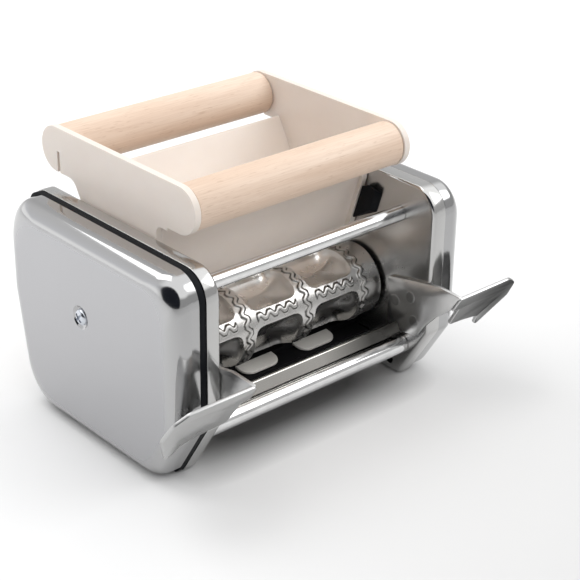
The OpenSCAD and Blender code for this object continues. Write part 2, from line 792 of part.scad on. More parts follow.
// End plate of the hopper with its two lobes
module end_plate() {
    across(hop_in, plate_t) polygon(smooth([
        [front_low_y, hopper_low_z, 1.5],
        [plate_rear(hopper_low_z), hopper_low_z, 1.5],
        [plate_rear(under_z), under_z, 7],
        [back_dowel_y + lobe_r, under_z, lobe_r - eps],
        [back_dowel_y + lobe_r, dowel_z + lobe_r, lobe_r - eps],
        [front_dowel_y - lobe_r, dowel_z + lobe_r, lobe_r - eps],
        [front_dowel_y - lobe_r, under_z, lobe_r - eps],
        [38.5, under_z],
        [38.5, under_z - 1.5],
        [neck_y, under_z - 1.5, 4],
        [neck_y, neck_kink_z, 2]], 8));
}

module hopper() {
    color([0.87, 0.82, 0.78]) place() difference() {
        union() {
            for (s = [-1, 1]) side(s) end_plate();
            across(-hop_in - eps, 2 * hop_in + 2 * eps) polygon([
                [front_face(wall_low_z), wall_low_z],
                [front_face(wall_low_z) + wall_t / cos(front_wall_lean), wall_low_z],
                [front_wall_y + wall_t / cos(front_wall_lean), wall_top_z],
                [front_wall_y, wall_top_z]]);
            across(-hop_in - eps, 2 * hop_in + 2 * eps) polygon([
                [rear_face(wall_low_z), wall_low_z],
                [plate_rear(wall_low_z), wall_low_z],
                [rear_out, wall_top_z],
                [rear_wall_y, wall_top_z]]);
        }
        for (s = [-1, 1]) side(s) {
            for (y = [front_dowel_y, back_dowel_y])
                bar_x(hop_in - 1, pin_socket + 1, pin_d / 2 + running_gap, y, dowel_z);
            translate([hop_in - 1, back_dowel_y - 2.3 - slit_w / 2, under_z - 2])
                cube([plate_t + 2, slit_w, lobe_r + 1.2]);
        }
    }
}

module dowel(y) {
    half = hop_in - dowel_play;
    place() difference() {
        bar_x(-half, 2 * half, dowel_d / 2, y, dowel_z);
        for (s = [-1, 1]) side(s)
            bar_x(half - pin_grip, pin_grip + 1, pin_d / 2 + fixed_gap, y, dowel_z);
    }
}

// Two steel pins in the ends of a dowel
module dowel_pins(y) {
    half = hop_in - dowel_play;
    place() for (s = [-1, 1]) side(s)
        bar_x(half - pin_grip, pin_grip + dowel_play + pin_socket - free_gap, pin_d / 2, y, dowel_z);
}

module front_dowel() {
    color([0.91, 0.78, 0.64]) dowel(front_dowel_y);
}

module back_dowel() {
    color([0.91, 0.78, 0.64]) dowel(back_dowel_y);
}

module front_dowel_pins() {
    color("silver") dowel_pins(front_dowel_y);
}

module back_dowel_pins() {
    color("silver") dowel_pins(back_dowel_y);
}

left_side_frame();
right_side_frame();
gear_case_band();
left_cover();
right_cover();
left_cover_post();
right_cover_post();
left_cover_screw();
right_cover_screw();
top_front_rod();
bottom_front_rod();
top_rear_rod();
bottom_rear_rod();
left_rod_nuts();
right_rod_nuts();
roller_bushes();
left_front_guide();
right_front_guide();
left_rear_guide();
right_rear_guide();
left_hook_arm();
right_hook_arm();
left_arm_rivets();
right_arm_rivets();
front_deflector_strip();
rear_deflector_strip();
front_stripper_comb();
rear_stripper_comb();
front_roller();
front_roller_shaft();
front_roller_gear();
back_roller();
back_roller_shaft();
back_roller_gear();
hopper();
front_dowel();
front_dowel_pins();
back_dowel();
back_dowel_pins();
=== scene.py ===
"""The looks of a hand cranked ravioli maker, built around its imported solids.

Lengths in the classes are millimetres. Depths along Y start at the front face of the
side frames and heights at the base, as in the part's source; at() turns them into metres.
"""

import logging
import math
from contextlib import contextmanager
from dataclasses import dataclass, field
from enum import Enum
from typing import Iterator, NamedTuple, Sequence

import bmesh
import bpy
import numpy as np
from mathutils import Matrix, Vector


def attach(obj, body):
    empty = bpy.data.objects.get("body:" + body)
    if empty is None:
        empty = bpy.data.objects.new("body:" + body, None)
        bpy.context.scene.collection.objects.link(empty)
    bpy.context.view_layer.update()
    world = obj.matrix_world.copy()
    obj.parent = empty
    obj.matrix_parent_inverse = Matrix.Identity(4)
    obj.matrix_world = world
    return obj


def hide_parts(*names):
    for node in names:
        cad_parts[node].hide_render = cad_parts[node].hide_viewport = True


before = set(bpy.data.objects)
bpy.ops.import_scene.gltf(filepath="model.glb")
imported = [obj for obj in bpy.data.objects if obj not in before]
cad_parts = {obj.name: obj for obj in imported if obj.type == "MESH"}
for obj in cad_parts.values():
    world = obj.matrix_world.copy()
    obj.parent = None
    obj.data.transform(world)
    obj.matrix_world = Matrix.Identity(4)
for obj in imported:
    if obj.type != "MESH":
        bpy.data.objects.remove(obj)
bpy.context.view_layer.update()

LOG = logging.getLogger("ravioli_maker")
MM = 0.001
FRONT = 57.4
LEAST_ROUNDING = 0.3
LEAST_RADIUS = 1e-4
WELD = 1e-6
SHARP_TURN = 32


class Corner(NamedTuple):
    """A corner of an outline: its depth, its height and its rounding radius."""

    y: float
    z: float
    r: float = 0.0


class Side(Enum):
    """The two ends of the machine, with the sign of X there."""

    LEFT = -1
    RIGHT = 1

    @property
    def word(self) -> str:
        """The side's name in lower case."""
        return self.name.lower()


Outline = Sequence[Corner]
Profile = Sequence[tuple[float, float]]
Points = list[tuple[float, float]]
Ring = list[Vector]
Triple = tuple[float, float, float]
Colour = Triple
Thing = bpy.types.Object
Socket = bpy.types.NodeSocket
Material = bpy.types.Material


# Geometry


def at(x: float, y: float, z: float) -> Vector:
    """Turns source lengths into a point of the shared frame.

    Args:
        x: Millimetres from the middle, to the right.
        y: Millimetres behind the front face of the side frames.
        z: Millimetres above the base.

    Returns:
        The point in metres.
    """
    return Vector((x * MM, (y - FRONT) * MM, z * MM))


def moved_in(outline: Outline, t: float, grow: float = 0.0) -> list[Corner]:
    """Moves every side of an outline inwards.

    Args:
        outline: Corners in anticlockwise order.
        t: Distance that each side moves, in millimetres.
        grow: How much rounder each corner gets, instead of t sharper.

    Returns:
        The new corners.
    """
    found: list[Corner] = []
    count = len(outline)
    for i, here in enumerate(outline):
        a = Vector((outline[i - 1].y, outline[i - 1].z))
        b = Vector((here.y, here.z))
        c = Vector((outline[(i + 1) % count].y, outline[(i + 1) % count].z))
        d1, d2 = (b - a).normalized(), (c - b).normalized()
        p, q = b + Vector((-d1.y, d1.x)) * t, b + Vector((-d2.y, d2.x)) * t
        cross = d1.x * d2.y - d1.y * d2.x
        k = ((q - p).x * d2.y - (q - p).y * d2.x) / cross
        m = p + d1 * k
        radius = here.r + grow if grow else max(here.r - t, LEAST_ROUNDING if here.r else 0.0)
        found.append(Corner(m.x, m.y, radius))
    return found


def rounded(outline: Outline, steps: int = 14) -> Points:
    """Rounds the corners of an outline.

    Args:
        outline: Corners in order.
        steps: Pieces of the arc at each rounded corner.

    Returns:
        The points of the outline as depth and height.
    """
    points: Points = []
    count = len(outline)
    for i, here in enumerate(outline):
        if here.r <= 0:
            points.append((here.y, here.z))
            continue
        a = Vector((outline[i - 1].y, outline[i - 1].z))
        b = Vector((here.y, here.z))
        c = Vector((outline[(i + 1) % count].y, outline[(i + 1) % count].z))
        d1, d2 = (a - b).normalized(), (c - b).normalized()
        w = math.acos(max(-1.0, min(1.0, d1.dot(d2))))
        m = b + (d1 + d2).normalized() * here.r / math.sin(w / 2)
        p = b + d1 * here.r / math.tan(w / 2) - m
        turn = 1 if (b - a).x * (c - b).y - (b - a).y * (c - b).x > 0 else -1
        start = math.atan2(p.y, p.x)
        for k in range(steps + 1):
            angle = start + turn * (math.pi - w) * k / steps
            points.append((m.x + here.r * math.cos(angle), m.y + here.r * math.sin(angle)))
    return points


def mirrored(profile: Profile, side: Side) -> Points:
    """Gives a profile along X as it runs at one end of the machine."""
    return [(side.value * x, r) for x, r in profile]


def circle(steps: int) -> list[float]:
    """Gives the angles of points that go once round."""
    return [2 * math.pi * k / steps for k in range(steps)]


def add_object(name: str, data: bpy.types.ID) -> Thing:
    """Makes an object and links it into the scene.

    Args:
        name: Its name.
        data: Its mesh, camera or lamp.

    Returns:
        The object.
    """
    made = bpy.data.objects.new(name, data)
    bpy.context.scene.collection.objects.link(made)
    return made


@contextmanager
def edited(mesh: bpy.types.Mesh) -> Iterator[bmesh.types.BMesh]:
    """Lends a mesh for editing and takes the result back into it.

    Args:
        mesh: The mesh.

    Returns:
        A context that gives the editable mesh.
    """
    work = bmesh.new()
    work.from_mesh(mesh)
    yield work
    work.to_mesh(mesh)
    work.free()


def new_object(name: str, vertices: Sequence[Vector], faces: Sequence[Sequence[int]],
               smooth: bool = True) -> Thing:
    """Makes a mesh object with outward normals.

    Args:
        name: Name of the piece.
        vertices: Points in metres.
        faces: Corners of each face.
        smooth: Whether the faces are shaded smooth.

    Returns:
        The object, linked into the scene.
    """
    mesh = bpy.data.meshes.new(name)
    mesh.from_pydata([tuple(v) for v in vertices], [], [tuple(f) for f in faces])
    with edited(mesh) as work:
        bmesh.ops.remove_doubles(work, verts=work.verts, dist=WELD)
        bmesh.ops.recalc_face_normals(work, faces=work.faces)
    mesh.polygons.foreach_set("use_smooth", [smooth] * len(mesh.polygons))
    mesh.update()
    return add_object(name, mesh)


def skin(name: str, rings: Sequence[Ring], closed: bool = False, caps: bool = True) -> Thing:
    """Joins rings of equal length into one surface.

    Args:
        name: Name of the piece.
        rings: The rings in order, each a closed loop of points.
        closed: Whether the last ring joins the first.
        caps: Whether the first and last ring are filled when not closed.

    Returns:
        The object.
    """
    m, n = len(rings[0]), len(rings)
    vertices = [p for ring in rings for p in ring]
    faces: list[list[int]] = []
    for k in range(n if closed else n - 1):
        a, b = k * m, ((k + 1) % n) * m
        faces += [[a + i, b + i, b + (i + 1) % m, a + (i + 1) % m] for i in range(m)]
    if caps and not closed:
        faces += [list(range(m)), list(range((n - 1) * m, n * m))[::-1]]
    return new_object(name, vertices, faces)


def sweep(name: str, outline: Outline, profile: Profile, side: Side,
          closed: bool = False, soften: float = 0.0, reach: float = 1.0, steps: int = 14) -> Thing:
    """Runs a profile round an outline.

    Args:
        name: Name of the piece.
        outline: Corners of the outline.
        profile: Points as distance inwards and X.
        side: End of the machine that the piece is on.
        closed: Whether the profile is a closed loop.
        soften: How much rounder the corners are where the profile is reach inwards.
        reach: Distance inwards at which the corners are that much rounder.
        steps: Pieces of the arc at each corner.

    Returns:
        The object.
    """
    rings: list[Ring] = []
    for t, x in profile:
        grow = max(soften * min(t, reach) / reach, 1e-6) if soften else 0.0
        points = rounded(moved_in(outline, t, grow), steps)
        rings.append([at(side.value * x, y, z) for y, z in points])
    return skin(name, rings, closed=closed)


def quarter(t0: float, x0: float, t1: float, x1: float, steps: int,
            from_x: bool) -> Points:
    """Points of a quarter of an ellipse between two points of a profile.

    Args:
        t0: Distance inwards at the start.
        x0: X at the start.
        t1: Distance inwards at the end.
        x1: X at the end.
        steps: Pieces of the arc.
        from_x: Whether the arc sets out along X.

    Returns:
        The points, both ends among them.
    """
    found: Points = []
    for k in range(steps + 1):
        a = math.pi / 2 * k / steps
        s, c = math.sin(a), 1 - math.cos(a)
        along_x, along_t = (s, c) if from_x else (c, s)
        found.append((t0 + (t1 - t0) * along_t, x0 + (x1 - x0) * along_x))
    return found


def slab(name: str, outline: Outline, x0: float, x1: float, edge: float = 0.4, steps: int = 8,
         rounds: int = 3) -> Thing:
    """Extrudes an outline along X and rounds its edges.

    Args:
        name: Name of the piece.
        outline: Corners of the shape in depth and height.
        x0: X of one face.
        x1: X of the other face.
        edge: Rounding of the edges.
        steps: Pieces of the arc at each corner.
        rounds: Segments of the rounded edges.

    Returns:
        The object.
    """
    points = rounded(outline, steps)
    made = skin(name, [[at(x, y, z) for y, z in points] for x in (x0, x1)])
    soften_edges(made, edge, rounds)
    return made


def lathe(name: str, profile: Profile, y: float, z: float, steps: int = 72) -> Thing:
    """Turns a profile round an axis along X.

    Args:
        name: Name of the piece.
        profile: Points as X and radius. A radius of 0 closes an end.
        y: Depth of the axis.
        z: Height of the axis.
        steps: Points round the axis.

    Returns:
        The object.
    """
    rings: list[Ring] = []
    for x, wide in profile:
        r = max(wide, LEAST_RADIUS)
        rings.append([at(x, y + r * math.cos(a), z + r * math.sin(a)) for a in circle(steps)])
    made = skin(name, rings)
    sharpen(made, SHARP_TURN)
    return made


def sharpen(piece: Thing, degrees: float) -> None:
    """Marks the edges that bend more than an angle as sharp.

    Args:
        piece: The object.
        degrees: The angle.
    """
    limit = math.radians(degrees)
    with edited(piece.data) as work:
        for edge in work.edges:
            edge.smooth = len(edge.link_faces) == 2 and edge.calc_face_angle(0.0) < limit


def soften_edges(piece: Thing, width: float, rounds: int = 3, degrees: float = 40) -> None:
    """Rounds the edges of a piece.

    Args:
        piece: The object.
        width: Rounding in millimetres.
        rounds: Segments of each rounding.
        degrees: Only edges that bend more than this are rounded.
    """
    bevel = piece.modifiers.new("edges", "BEVEL")
    bevel.width = width * MM
    bevel.segments = rounds
    bevel.limit_method = "ANGLE"
    bevel.angle_limit = math.radians(degrees)
    bevel.harden_normals = True


def settle(piece: Thing) -> None:
    """Applies the modifiers of a piece.

    Args:
        piece: The object.
    """
    bpy.context.view_layer.update()
    graph = bpy.context.evaluated_depsgraph_get()
    mesh = bpy.data.meshes.new_from_object(piece.evaluated_get(graph))
    old = piece.data
    piece.modifiers.clear()
    piece.data = mesh
    bpy.data.meshes.remove(old)


def cut_out(piece: Thing, cutter: Thing) -> None:
    """Takes a solid away from a piece.

    Args:
        piece: The piece.
        cutter: The solid, which is used up.
    """
    cut = piece.modifiers.new("cut", "BOOLEAN")
    cut.operation, cut.solver, cut.object = "DIFFERENCE", "EXACT", cutter
    settle(piece)
    bpy.data.objects.remove(cutter)


def drill(piece: Thing, holes: Sequence[Triple], x0: float, x1: float) -> None:
    """Bores holes along X through a piece.

    Args:
        piece: The object.
        holes: Depth, height and radius of each hole.
        x0: X where the holes start.
        x1: X where they end.
    """
    for y, z, r in holes:
        cut_out(piece, lathe("cutter", [(x0, r), (x1, r)], y, z, 48))
    piece.data.polygons.foreach_set("use_smooth", [True] * len(piece.data.polygons))
    sharpen(piece, SHARP_TURN)


def joined(name: str, pieces: Sequence[Thing]) -> Thing:
    """Joins finished pieces into one object.

    Args:
        name: Name of the result.
        pieces: The objects, which are used up.

    Returns:
        The object.
    """
    for piece in pieces:
        if piece.modifiers:
            settle(piece)
    work = bmesh.new()
    for piece in pieces:
        work.from_mesh(piece.data)
    mesh = bpy.data.meshes.new(name)
    work.to_mesh(mesh)
    work.free()
    for piece in pieces:
        bpy.data.objects.remove(piece)
    return add_object(name, mesh)


# Finishes


class Graph:
    """A material's or world's node tree, with short ways to fill it."""

    def __init__(self, tree: bpy.types.NodeTree) -> None:
        """Empties a node tree and keeps it."""
        self.tree = tree
        tree.nodes.clear()

    def add(self, kind: str, settings: dict[str, object] | None = None, **sockets: object) -> bpy.types.Node:
        """Adds a node.

        Args:
            kind: Node type without its ShaderNode beginning.
            settings: Attributes of the node.
            sockets: Input values or the outputs to link, by name with _ for a space.

        Returns:
            The node.
        """
        node = self.tree.nodes.new("ShaderNode" + kind)
        for key, value in (settings or {}).items():
            setattr(node, key, value)
        for key, value in sockets.items():
            which = int(key[1:]) if key[1:].isdigit() else key.replace("_", " ")
            self.feed(node.inputs[which], value)
        return node

    def feed(self, socket: Socket, value: object) -> None:
        """Links an output to an input, or sets the input's own value.

        Args:
            socket: The input.
            value: The output or value.
        """
        if isinstance(value, Socket):
            self.tree.links.new(value, socket)
        else:
            socket.default_value = value

    def math(self, operation: str, *values: object) -> Socket:
        """Gives the result of a sum, product or other operation on values or outputs."""
        inputs = {f"_{k}": value for k, value in enumerate(values)}
        return self.add("Math", {"operation": operation}, **inputs).outputs[0]

    def facing(self, axis: str) -> Socket:
        """Gives how squarely the surface faces an axis, from 0 to 1."""
        normal = self.add("TexCoord").outputs["Normal"]
        return self.math("ABSOLUTE", self.add("SeparateXYZ", Vector=normal).outputs[axis])

    def place(self, scale: Triple) -> Socket:
        """Gives the piece's own coordinates in metres, times a scale."""
        where = self.add("TexCoord").outputs["Object"]
        return self.add("Mapping", Vector=where, Scale=scale).outputs["Vector"]

    def along(self, axis: str) -> Socket:
        """Gives the place along an axis in metres."""
        return self.add("SeparateXYZ", Vector=self.place((1, 1, 1))).outputs[axis]

    def noise(self, scale: Triple, detail: float = 3.0, rough: float = 0.55) -> Socket:
        """Gives noise from 0 to 1, with the waves per metre along X, Y and Z as its scale."""
        node = self.add("TexNoise", Vector=self.place(scale), Scale=1.0, Detail=detail, Roughness=rough)
        return node.outputs["Fac"]

    def spread(self, value: Socket, low: float, high: float, to_low: float = 0.0,
               to_high: float = 1.0) -> Socket:
        """Maps a value from low and high to to_low and to_high, and no further."""
        node = self.add("MapRange", Value=value, From_Min=low, From_Max=high,
                        To_Min=to_low, To_Max=to_high)
        return node.outputs["Result"]

    def tint(self, share: Socket, first: Sequence[float], second: object) -> Socket:
        """Mixes two colours.

        Args:
            share: Share of the second colour.
            first: Colour or colour output at 0.
            second: Colour or colour output at 1.

        Returns:
            The colour output.
        """
        node = self.add("Mix", {"data_type": "RGBA"}, Factor=share)
        for socket, value in ((node.inputs[6], first), (node.inputs[7], second)):
            self.feed(socket, value if isinstance(value, Socket) else (*value, 1.0))
        return node.outputs[2]

    def bump(self, height: Socket, depth: float, strength: float = 1.0) -> Socket:
        """Turns a height from 0 to 1 into a normal, where 1 is a depth in metres."""
        return self.add("Bump", Height=height, Distance=depth, Strength=strength).outputs["Normal"]

    def surface(self, colour: object, roughness: object, normal: Socket | None = None,
                metallic: float = 0.0, **plain: object) -> None:
        """Closes the tree with a principled surface.

        Args:
            colour: Base colour or its output.
            roughness: Roughness or its output.
            normal: Normal output.
            metallic: 1 for metals.
            plain: Further sockets with plain values.
        """
        if not isinstance(colour, Socket):
            colour = (*colour, 1.0)
        shader = self.add("BsdfPrincipled", Base_Color=colour, Roughness=roughness,
                          Metallic=metallic, **plain)
        if normal is not None:
            self.feed(shader.inputs["Normal"], normal)
        self.add("OutputMaterial", Surface=shader.outputs["BSDF"])


def new_material(name: str) -> tuple[Material, Graph]:
    """Makes a material with an empty node tree.

    Args:
        name: Its name.

    Returns:
        The material and its tree.
    """
    made = bpy.data.materials.new(name)
    made.use_nodes = True
    return made, Graph(made.node_tree)


def dimmed(colour: Colour, share: float) -> Colour:
    """Gives a colour times a share."""
    return tuple(c * share for c in colour)


@dataclass(frozen=True)
class SheetSteel:
    """Stainless sheet with faint polishing lines, smudges and small flecks.

    The front faces can carry a painted dark, streaked reflection (front), and the right part a painted dark
    reflection (right).
    """

    name: str
    colour: Colour = (0.60, 0.597, 0.59)
    roughness: float = 0.13
    lines: Triple = (30.0, 900.0, 900.0)
    line_depth: float = 1.2e-6
    cloud: float = 0.08
    plate_roughness: float = 0.0
    front: float = 1.0
    right: float = 1.0

    def build(self) -> Material:
        """Makes the material."""
        made, g = new_material(self.name)
        clouds = g.noise((28, 28, 28), 4)
        lines = g.noise(self.lines, 2)
        flecks = g.spread(g.noise((900, 1300, 900), 2), 0.68, 0.78)
        colour = g.tint(clouds, dimmed(self.colour, 1 - self.cloud * 1.6), self.colour)
        colour = g.tint(flecks, colour, dimmed(self.colour, 0.86))
        rough = g.spread(clouds, 0.25, 0.8, self.roughness * 0.8, self.roughness * 1.5)
        if self.plate_roughness:
            plate = g.spread(g.facing("X"), 0.9, 0.99, 0.0, self.plate_roughness)
            rough = g.math("ADD", rough, plate)
        # Painted reflection: front faces darkened and streaked, by the front share.
        if self.front < 1.0:
            colour = g.tint(g.spread(g.facing("Y"), 0.70, 0.80), colour, self.painted_front_reflection(g))
        # Painted reflection: the right part darkened, by the right share.
        if self.right < 1.0:
            colour = g.tint(g.spread(g.along("X"), 0.012, 0.045), colour, dimmed(self.colour, self.right))
        # The front share also darkens the grazing reflection, as part of the same painted dark reflection.
        edge = (*([self.front] * 3), 1.0)
        g.surface(colour, rough, g.bump(lines, self.line_depth), 1.0, Specular_Tint=edge)
        return made

    def painted_front_reflection(self, g: Graph) -> Socket:
        """Gives the colour of the front faces, a painted reflection: bright near the machine, dark and
        streaked further out.

        Args:
            g: The material's tree.

        Returns:
            The colour output.
        """
        streaks = g.spread(g.noise((25, 420, 420), 3), 0.3, 0.7)
        outer = g.spread(g.along("X"), 0.078, 0.100)
        near, low, high = (dimmed(self.colour, self.front * k) for k in (1.6, 0.25, 0.9))
        return g.tint(outer, near, g.tint(streaks, low, high))


@dataclass(frozen=True)
class CoverSteel:
    """Pressed cover: a satin face with polished roundings."""

    name: str = "cover_satin_and_polished_steel"
    face: Colour = (0.47, 0.47, 0.482)
    rounding: Colour = (0.46, 0.46, 0.462)

    def build(self) -> Material:
        """Makes the material."""
        made, g = new_material(self.name)
        flat = g.spread(g.facing("X"), 0.93, 0.998)
        clouds = g.noise((22, 22, 22), 4)
        grain = g.noise((300, 1600, 260), 3)
        face = g.tint(clouds, dimmed(self.face, 0.95), self.face)
        colour = g.tint(flat, self.rounding, face)
        rough = g.math("MULTIPLY_ADD", flat, 0.20, g.spread(clouds, 0.2, 0.8, 0.08, 0.13))
        g.surface(colour, rough, g.bump(grain, 1.5e-6), 1.0)
        return made


@dataclass(frozen=True)
class CastMetal:
    """Cast and tumbled aluminium with a grainy skin, and painted shade on the steep flanks of the ribs."""

    name: str = "roller_cast_aluminium"
    colour: Colour = (0.66, 0.65, 0.635)
    worn: Colour = (0.57, 0.558, 0.54)
    # Painted shade colour for the steep rib flanks.
    dark: Colour = (0.12, 0.117, 0.11)

    def build(self) -> Material:
        """Makes the material."""
        made, g = new_material(self.name)
        clouds = g.noise((90, 90, 90), 4, 0.5)
        grain = g.noise((1500, 1500, 1500), 3)
        flank_shade = g.add("Attribute", {"attribute_name": "flank_shade"}).outputs["Fac"]
        flat = g.tint(g.spread(clouds, 0.3, 0.7), self.worn, self.colour)
        colour = g.tint(flank_shade, flat, self.dark)
        rough = g.spread(clouds, 0.3, 0.7, 0.22, 0.34)
        both = g.math("MULTIPLY_ADD", grain, 0.10, clouds)
        g.surface(colour, rough, g.bump(both, 1.6e-5, 0.7), 1.0)
        return made


@dataclass(frozen=True)
class TurnedMetal:
    """Turned, ground or stamped metal with fine rings and clouded gloss."""

    name: str
    colour: Colour
    roughness: float = 0.22
    rings: Triple = (2400.0, 40.0, 40.0)
    ring_depth: float = 2e-6

    def build(self) -> Material:
        """Makes the material."""
        made, g = new_material(self.name)
        clouds = g.noise((140, 140, 140), 4)
        colour = g.tint(g.spread(clouds, 0.3, 0.7), dimmed(self.colour, 0.86), self.colour)
        rough = g.spread(clouds, 0.25, 0.75, self.roughness * 0.75, self.roughness * 1.3)
        g.surface(colour, rough, g.bump(g.noise(self.rings, 2), self.ring_depth), 1.0)
        return made


@dataclass(frozen=True)
class Plastic:
    """Moulded plastic with a fine eroded skin and faint flow clouds."""

    name: str
    colour: Colour
    shade: Colour
    roughness: float = 0.42
    skin_depth: float = 1.5e-5
    glow: float = 0.0
    glow_reach: Triple = (0.004, 0.003, 0.002)
    gloss: float = 0.5

    def build(self) -> Material:
        """Makes the material."""
        made, g = new_material(self.name)
        clouds = g.noise((35, 35, 50), 4)
        fine = g.noise((2200, 2200, 2200), 3)
        colour = g.tint(g.spread(clouds, 0.3, 0.72), self.shade, self.colour)
        rough = g.spread(fine, 0.3, 0.7, self.roughness * 0.85, self.roughness * 1.15)
        plain: dict[str, object] = {"Specular_IOR_Level": self.gloss}
        if self.glow:
            plain |= {"Subsurface_Weight": self.glow, "Subsurface_Radius": self.glow_reach,
                      "Subsurface_Scale": 1.0}
        g.surface(colour, rough, g.bump(fine, self.skin_depth, 0.6), 0.0, **plain)
        return made


@dataclass(frozen=True)
class Beech:
    """Turned beech: pale pinkish wood with a long soft figure and short darker flecks."""

    name: str = "plain_beech"
    light: Colour = (0.84, 0.68, 0.555)
    deep: Colour = (0.74, 0.565, 0.44)
    fleck: Colour = (0.55, 0.37, 0.255)

    def build(self) -> Material:
        """Makes the material."""
        made, g = new_material(self.name)
        figure = g.noise((7, 90, 110), 3, 0.5)
        fibre = g.noise((45, 1500, 1500), 3, 0.6)
        flecks = g.spread(g.noise((160, 1500, 1100), 1), 0.63, 0.72)
        colour = g.tint(g.spread(figure, 0.35, 0.68), self.light, self.deep)
        colour = g.tint(g.spread(fibre, 0.42, 0.75, 0.0, 0.35), colour, self.fleck)
        colour = g.tint(g.math("MULTIPLY", flecks, 0.38), colour, self.fleck)
        rough = g.spread(fibre, 0.3, 0.7, 0.48, 0.62)
        g.surface(colour, rough, g.bump(fibre, 2.2e-5, 0.8))
        return made


class Finishes:
    """All finishes of the machine, made once."""

    def __init__(self) -> None:
        """Makes the materials."""
        self.frame = SheetSteel("frame_polished_steel", lines=(40.0, 500.0, 500.0),
                                plate_roughness=0.10).build()
        self.cover = CoverSteel().build()
        brushed = (0.28, (60.0, 700.0, 900.0), 3e-6)
        self.arm = SheetSteel("arm_brushed_steel", (0.52, 0.52, 0.517), *brushed).build()
        # Copy of the arm steel for the right arm: its brighter colour is painted light on the shadowed cheek,
        # and its front faces carry a painted dark reflection.
        self.arm_painted_light_and_shade = SheetSteel("arm_streaked_steel", (0.74, 0.74, 0.735), *brushed, front=0.30).build()
        # The strip's right part is darkened as a painted dark reflection (right share 0.16).
        self.strip = SheetSteel("strip_polished_steel", (0.68, 0.66, 0.62), 0.12,
                                (25.0, 1500.0, 1500.0), 1.5e-6, right=0.16).build()
        self.rod = TurnedMetal("rod_polished_chrome", (0.86, 0.86, 0.86), 0.13,
                               (900.0, 60.0, 60.0), 4e-7).build()
        self.plain = TurnedMetal("fastener_plain_steel", (0.56, 0.56, 0.57), 0.30).build()
        self.screw = TurnedMetal("screw_zinc_plated", (0.66, 0.69, 0.74), 0.22).build()
        self.gear = TurnedMetal("gear_machined_steel", (0.50, 0.48, 0.45), 0.34).build()
        self.bush = TurnedMetal("bush_sintered_bronze", (0.55, 0.40, 0.22), 0.42).build()
        self.cast = CastMetal().build()
        self.black = Plastic("black_moulded_plastic", (0.008, 0.009, 0.011), (0.005, 0.006, 0.008),
                             0.55, gloss=0.10).build()
        # Near-black plastic for the comb bar: its colour is painted shade for the dark space under the
        # rollers.
        self.dark = Plastic("near_black_plastic_painted_shade", (0.014, 0.014, 0.015), (0.010, 0.010, 0.011),
                            0.45, gloss=0.02).build()
        self.grey = Plastic("pale_grey_moulded_plastic", (0.74, 0.72, 0.68), (0.68, 0.66, 0.62),
                            0.40).build()
        self.cream = Plastic("cream_moulded_plastic", (0.84, 0.765, 0.70), (0.80, 0.72, 0.655),
                             0.40, 8e-6, 0.12).build()
        self.beech = Beech().build()


def dress(piece: Thing, material: Material) -> None:
    """Gives every face of a piece one material.

    Args:
        piece: The object.
        material: The material.
    """
    if piece.data.materials:
        for i in range(len(piece.data.materials)):
            piece.material_slots[i].link = "OBJECT"
            piece.material_slots[i].material = material
    else:
        piece.data.materials.append(material)


# The machine


@dataclass
class Body:
    """Sizes that several sub-assemblies share."""

    inner_w: float = 134.0
    height: float = 108.0
    depth: float = 132.0
    flange_w: float = 8.0
    sheet: float = 1.5
    cover_w: float = 14.5
    band_w: float = 4.0
    roller_y: float = 51.4
    roller_z: float = 45.2
    axis_gap: float = 40.0
    screw_y: float = 70.5
    screw_z: float = 66.5
    first_x: float = 53.3
    pitch: float = 38.1
    columns: int = 3

    @property
    def plate_x(self) -> float:
        """Inner face of a side plate."""
        return self.inner_w / 2

    @property
    def flange_x(self) -> float:
        """Outer edge of a side frame's flange."""
        return self.plate_x + self.flange_w

    @property
    def back_roller_y(self) -> float:
        """Depth of the back roller's axis."""
        return self.roller_y + self.axis_gap

    def middles(self) -> list[float]:
        """Gives the X of the middle of each column of pockets."""
        return [self.first_x - (k + 0.5) * self.pitch for k in range(self.columns)]

    def frame_outline(self) -> list[Corner]:
        """Gives the outline of a side frame."""
        return [Corner(19, 0, 4), Corner(self.depth - 11, 0, 14), Corner(self.depth, 61, 20),
                Corner(self.depth, self.height, 8), Corner(0, self.height, 14), Corner(0, 31, 5)]

    def cover_outline(self) -> list[Corner]:
        """Gives the outline of a cover at its rim."""
        return [Corner(18.26, 1.2, 12), Corner(self.depth - 10.78, 1.2, 18), Corner(self.depth, 61, 24),
                Corner(self.depth, self.height, 15), Corner(0, self.height, 14), Corner(0, 31, 6)]

    def rods(self) -> list[tuple[str, float, float, float]]:
        """Gives the name, depth, height and radius of each tie rod."""
        return [("top_front_rod", 23.4, 90, 4), ("bottom_front_rod", 18, 19, 5),
                ("top_rear_rod", self.depth - 11, 72, 4),
                ("bottom_rear_rod", self.back_roller_y + 15.6, 14, 5)]

    def rivets(self) -> Points:
        """Gives the depth and height of each arm rivet."""
        return [(11.5, 48.3), (8.5, 35.9), (22, 43)]


@dataclass
class Assembly:
    """What every sub-assembly shares: it dresses pieces and puts them on their bodies."""

    finishes: Finishes
    body: Body
    made: list[str] = field(default_factory=list, init=False)

    def put(self, piece: Thing, rides: str, material: Material, slot: str, *nodes: str) -> None:
        """Dresses a new piece and lets it ride on a body.

        Args:
            piece: The object.
            rides: Body that it rides on.
            material: Its finish.
            slot: The record's material slot; not used.
            nodes: CAD nodes that it stands for.
        """
        dress(piece, material)
        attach(piece, rides)
        if nodes:
            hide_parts(*nodes)
        self.made.append(piece.name)

    def keep(self, material: Material, *nodes: str, edge: float = 0.0) -> None:
        """Dresses CAD nodes that stay in view.

        Args:
            material: Their finish.
            nodes: Their names.
            edge: Rounding of their edges in millimetres.
        """
        for name in nodes:
            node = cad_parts[name]
            dress(node, material)
            if edge:
                soften_edges(node, edge, 2, 50)
            self.made.append(name)

    def build(self) -> None:
        """Makes the pieces."""
        raise NotImplementedError


